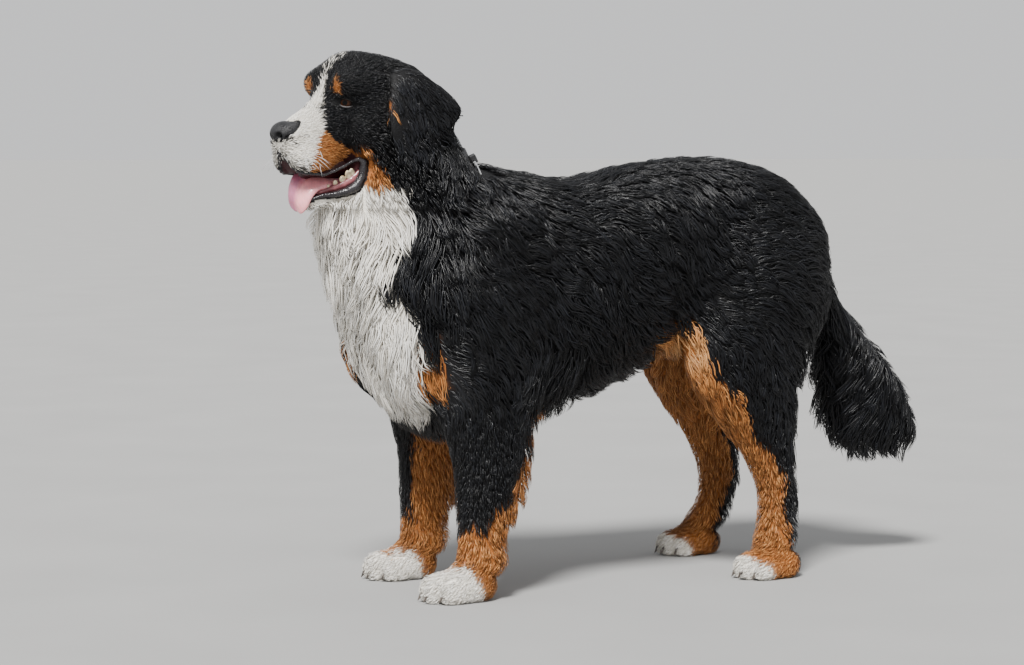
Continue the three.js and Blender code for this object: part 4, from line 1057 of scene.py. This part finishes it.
def grow_coat():
    roots = scatter(skin_points, skin_quads, rates())
    length = long_of(roots) * rng.uniform(0.75, 1.2, len(roots))
    kind = kind_of(roots)
    for k, (name, coat) in enumerate(COATS.items()):
        for label, low, high, steps, wave in CLASSES:
            at = np.nonzero((kind == k) & (length >= low) & (length < high))[0]
            if len(at) < FEWEST_TUFTS:
                continue
            size = length[at]
            ends = rng.uniform(0.35, 1.04, len(at)) ** 0.8
            path, outs, loose = comb(roots[at], size, steps, wave, 0.12 if steps < 4 else 0.17, ends)
            colour = colours_of(coat, roots[at])
            width = np.interp(size, HAIR_LENGTHS, HAIR_WIDTHS) * rng.uniform(0.7, 1.25, len(at))
            if label != "short":
                leaders = rng.choice(len(at), max(len(at) // TUFTS_TO_A_LOCK, 2), replace=False)
                path = gather(path, leaders, rng.uniform(0.5, 0.9, len(at)) * (1 if steps == 4 else 0.6))
            path[:, 0] -= outs[:, 0] * ROOT_DEPTH
            stretch = np.linalg.norm(np.diff(path, axis=1), axis=2).max(1) * steps / size
            fine = (stretch < LONGEST_STRETCH) & ~in_the_way(path, loose)
            title = "coat_" + name + "_" + label
            tufts(title, path[fine], outs[fine], width[fine], TUFT_THICKNESS, colour[fine], name)


grow_coat()


# Eyes, lids, nose, mouth, claws
def field_mesh(name, field, low, high, cell, material, slot_name, colour=None, place=from_head):
    points, quads = surface(field, low, high, cell)
    piece = add_mesh(name, place(points), [quads[:, ::-1]], material)
    if colour is not None:
        paint(piece, colour(points))
    return piece


GRAIN = (900, 900, 900)
eye_material = tinted("eye", (0.03, 0.06), GRAIN, (0.9, 1.1), 0.05, 0.0001, Specular_IOR_Level=0.16)
lid_material = tinted("lids", (0.3, 0.45), GRAIN, (0.7, 1.3), 0.5, 0.0004)
PUPIL_ANGLE, IRIS_ANGLE = 0.34, 0.7


def make_eye(side, name):
    flip = np.array([1, side, 1])
    centre, out = EYE * flip, EYE_OUT * flip

    def iris(points):
        r = points - centre
        angle = np.arccos(np.clip(unit(r) @ out, -1, 1))
        ray = 0.75 + 0.35 * noise(r, 0.9)[:, None]
        colour = np.where((angle < PUPIL_ANGLE)[:, None], 0.0006, np.array([0.05, 0.018, 0.007]) * ray)
        return np.where((angle > IRIS_ANGLE)[:, None], np.array([0.02, 0.012, 0.01]), colour)

    def lids(q):
        shell = np.linalg.norm(q - centre, axis=1) - EYE_RADIUS - 2.4
        return smax(smax(shell, -eye_slit(q, side), 0.8), eye_slit(q, side, 1.5), 1.5)

    def lid_colour_with_highlight(points):
        # Painted highlight: the lower lid is painted much paler than the dark upper lid.
        lower_lid_highlight = ramp(points[:, 2] - centre[2], 2, -5)[:, None]
        return mix(np.array([0.008, 0.007, 0.007]), np.array([0.075, 0.07, 0.07]), lower_lid_highlight)

    ball = field_mesh(
        name + "_ball", lambda q: np.linalg.norm(q - centre, axis=1) - EYE_RADIUS,
        centre - 14, centre + 14, 0.7, eye_material, "eye", iris
    )
    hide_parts(name)
    field_mesh(name + "_lids", lids, centre - 22, centre + 22, 0.8, lid_material, "lip", lid_colour_with_highlight)


make_eye(1, "eye_left")
make_eye(-1, "eye_right")
NOSE_COLOURS = [(0.004, 0.004, 0.005), (0.02, 0.02, 0.022)]
nose_material = noisy("nose leather", NOSE_COLOURS, 90, (0.26, 0.4), 0.9, 900, Specular_IOR_Level=0.3)
nose = field_mesh(
    "nose_leather", nose_field, (108, -42, -50), (172, 42, 6), 1.0, nose_material, "nose_leather"
)
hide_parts("nose")


def tongue_colour_lit_and_shaded(points):
    # Painted light and shade: the near half is a bright lit pink and the far half a darker, purpler pink as
    # its shaded side.
    far = ramp(points[:, 1], 6, -4)[:, None]
    grain = 1 + 0.08 * noise(points, 1.6)[:, None]
    return mix(np.array([0.88, 0.34, 0.37]), np.array([0.42, 0.13, 0.21]), far) * grain


flesh = dict(Subsurface_Weight=0.12, Coat_Weight=0.4, Coat_Roughness=0.2)
tongue_material = tinted("tongue", (0.28, 0.4), (1100, 1100, 1100), (0.88, 1.1), 0.5, 0.0005, **flesh)
tongue = field_mesh(
    "tongue_flesh", tongue_field, (30, -45, -165), (175, 45, -74), 1.3,
    tongue_material, "tongue", tongue_colour_lit_and_shaded,
)
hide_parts("tongue")
LINING = [[28, -110, -60, 0, 22], [60, -112, -58, 0, 17], [100, -106, -58, 0, 13], [131, -96, -58, 0, 9]]
GUM = [(50, 40, -106), (62, 37, -114), (77, 34, -118), (92, 30, -120), (112, 21, -122), (124, 10, -123)]
GUM_RADII = [5, 6.5, 6, 5, 4, 3.5]
TEETH = [
    ((60, 37, -105), (4.5, 4.5, 8)), ((67, 36, -107), (5, 4.5, 8.5)), ((77, 34, -111), (5.5, 4, 6.5)),
    ((89, 30.5, -114), (4, 3.2, 5.5)), ((100, 26, -117), (3, 2.8, 4.5)),
]
lining_tube = tube(LINING, 2.6, 8, (0, 0, 0))
LINING_COLOURS = [(0.02, 0.002, 0.003), (0.09, 0.014, 0.018)]
lining_material = noisy("mouth lining", LINING_COLOURS, 60, (0.3, 0.5), 0.5, 500)
GUM_COLOURS = [(0.16, 0.035, 0.045), (0.34, 0.11, 0.12)]
gum_material = noisy("gums", GUM_COLOURS, 80, (0.25, 0.4), 0.4, 700, Coat_Weight=0.5)
tooth_material = noisy("enamel", [(0.5, 0.36, 0.2), (0.8, 0.7, 0.5)], 70, (0.15, 0.3), 0.2, 500)
lip_material = noisy("lip skin", [(0.006, 0.005, 0.006), (0.03, 0.027, 0.03)], 120, (0.14, 0.3), 0.6, 600)


def lining_field(q):
    return lining_tube(q[:, 0], q[:, 2], q[:, 1])


def gum_field(q):
    return cord(mirrored(q), GUM, GUM_RADII)


def teeth_field(q):
    m = mirrored(q).T
    d = 1e9
    for centre, radius in TEETH:
        d = np.minimum(d, ellipsoid(m, centre, radius))
    return d


def lips_field(q):
    return smin(upper_lip(q), lower_lip(q), 2)


MOUTH = (20, -64, -146), (172, 64, -40)
field_mesh("mouth_lining", lining_field, *MOUTH, 1.6, lining_material, "tongue")
field_mesh("gums", gum_field, *MOUTH, 1.3, gum_material, "tongue")
field_mesh("teeth", teeth_field, *MOUTH, 0.9, tooth_material, "tooth")
field_mesh("lips", lips_field, *MOUTH, 1.1, lip_material, "lip")
claw_material = noisy("claw horn", [(0.02, 0.016, 0.014), (0.12, 0.1, 0.085)], 120, (0.25, 0.4), 0.3, 500)


def make_claws(number, place, size):
    base = [
        np.array([place[0] + (ahead - 4 - radius[0]) * size, place[1] + out * size, 0])
        for out, ahead, radius in TOES
    ]
    bends = np.array([(8, 0, 16), (-3, 0, 13), (-9, 0, 3.5)])

    def claws(p):
        return np.minimum.reduce([cord(p, root + bends, [3.6, 3.0, 0.8]) for root in base])

    low, high = np.min(base, 0) - (22, 8, 0), np.max(base, 0) + (12, 8, 26)
    field_mesh("claws_" + str(number), claws, low, high, 1.0, claw_material, "claw", place=lambda p: p)


FEET = [(FORE[-1][0], 1.0), (FORE[1][0], 1.0), (HIND[-1][0], HIND_PAW_SIZE), (HIND[1][0], HIND_PAW_SIZE)]
for number, (place, size) in enumerate(FEET, 1):
    make_claws(number, place, size)


def make_whiskers():
    """A few long stiff hairs on each side of the muzzle."""
    count = 9
    root = [rng.uniform(112, 146, count), rng.uniform(38, 42, count), rng.uniform(-78, -48, count)]
    root = np.stack(root, 1)
    way = [rng.uniform(-0.6, 0.5, count), np.full(count, 0.8), rng.uniform(-0.7, -0.1, count)]
    way = unit(np.stack(way, 1))
    reach = rng.uniform(28, 52, count)[:, None]
    sag = np.array([0, 0, -1.0])
    stations = [root + way * reach * t + sag * (10 * t * t) for t in (0, 0.33, 0.67, 1)]
    one = np.stack(stations, 1)
    path = np.concatenate([one, one * (1, -1, 1)])
    outs = np.broadcast_to(np.array([0.6, 0.0, 0.8]), path.shape) @ HEAD
    colour = np.full((2 * count, 3), 0.6)
    tufts("whiskers", from_head(path), outs, np.full(2 * count, 0.8), 0.8, colour, "white")


make_whiskers()

# Collar: its three nodes are shown as packed, in better materials
strap_material = noisy("strap", [(0.008, 0.008, 0.009), (0.022, 0.022, 0.025)], 120, (0.45, 0.6), 0.6, 1500)
metal = noisy("chrome", [(0.7, 0.71, 0.72), (0.82, 0.83, 0.84)], 60, (0.08, 0.2), 0.15, 400, Metallic=1.0)
KEPT = ("collar_band", "collar_loop", "collar_ring")
for name in KEPT:
    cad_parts[name].data.materials.clear()
    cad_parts[name].data.materials.append(metal if name == "collar_ring" else strap_material)
REPLACED = ("eye_left", "eye_right", "nose", "tongue")
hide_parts(*[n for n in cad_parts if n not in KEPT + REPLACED])

# Camera, floor and light
IMAGE_WIDTH = 1024
LENS_PIXELS = 2617
SENSOR_WIDTH = 36.0
CAMERA_PLACE = (-1.902, -3.814, 0.693)
CAMERA_DIP, CAMERA_HEADING = 3.962, -24.44
camera_data = bpy.data.cameras.new("camera")
camera_data.sensor_width = SENSOR_WIDTH
camera_data.lens = LENS_PIXELS / IMAGE_WIDTH * SENSOR_WIDTH
camera = linked("camera", camera_data)
camera.location = CAMERA_PLACE
camera.rotation_euler = (math.radians(90 - CAMERA_DIP), 0, math.radians(CAMERA_HEADING))
bpy.context.scene.camera = camera

FLOOR_SIZE = 400
bpy.ops.mesh.primitive_plane_add(size=FLOOR_SIZE)
floor = bpy.context.object
floor.name = "floor"
FLOOR_COLOURS = [(0.29, 0.29, 0.287), (0.31, 0.31, 0.307)]
floor_material = noisy("pale floor", FLOOR_COLOURS, 3, (0.8, 0.9), 0.05, 60, Specular_IOR_Level=0.1)
floor.data.materials.append(floor_material)

SUN_STRENGTH, SUN_ANGLE, SUN_COLOUR = 8.05, 14, (1.0, 0.985, 0.96)
SUN_WAY = (0.5, 0.6, -1.0)
SKY_COLOUR, SKY_STRENGTH = (0.985, 0.99, 1.0, 1), 0.85
sun_data = bpy.data.lights.new("key", "SUN")
sun_data.energy = SUN_STRENGTH
sun_data.angle = math.radians(SUN_ANGLE)
sun_data.color = SUN_COLOUR
sun = linked("key", sun_data)
sun.rotation_euler = Vector(SUN_WAY).to_track_quat("-Z", "Y").to_euler()
world = bpy.data.worlds.new("world")
bpy.context.scene.world = world
world.use_nodes = True
sky = world.node_tree.nodes["Background"]
sky.inputs["Color"].default_value = SKY_COLOUR
sky.inputs["Strength"].default_value = SKY_STRENGTH
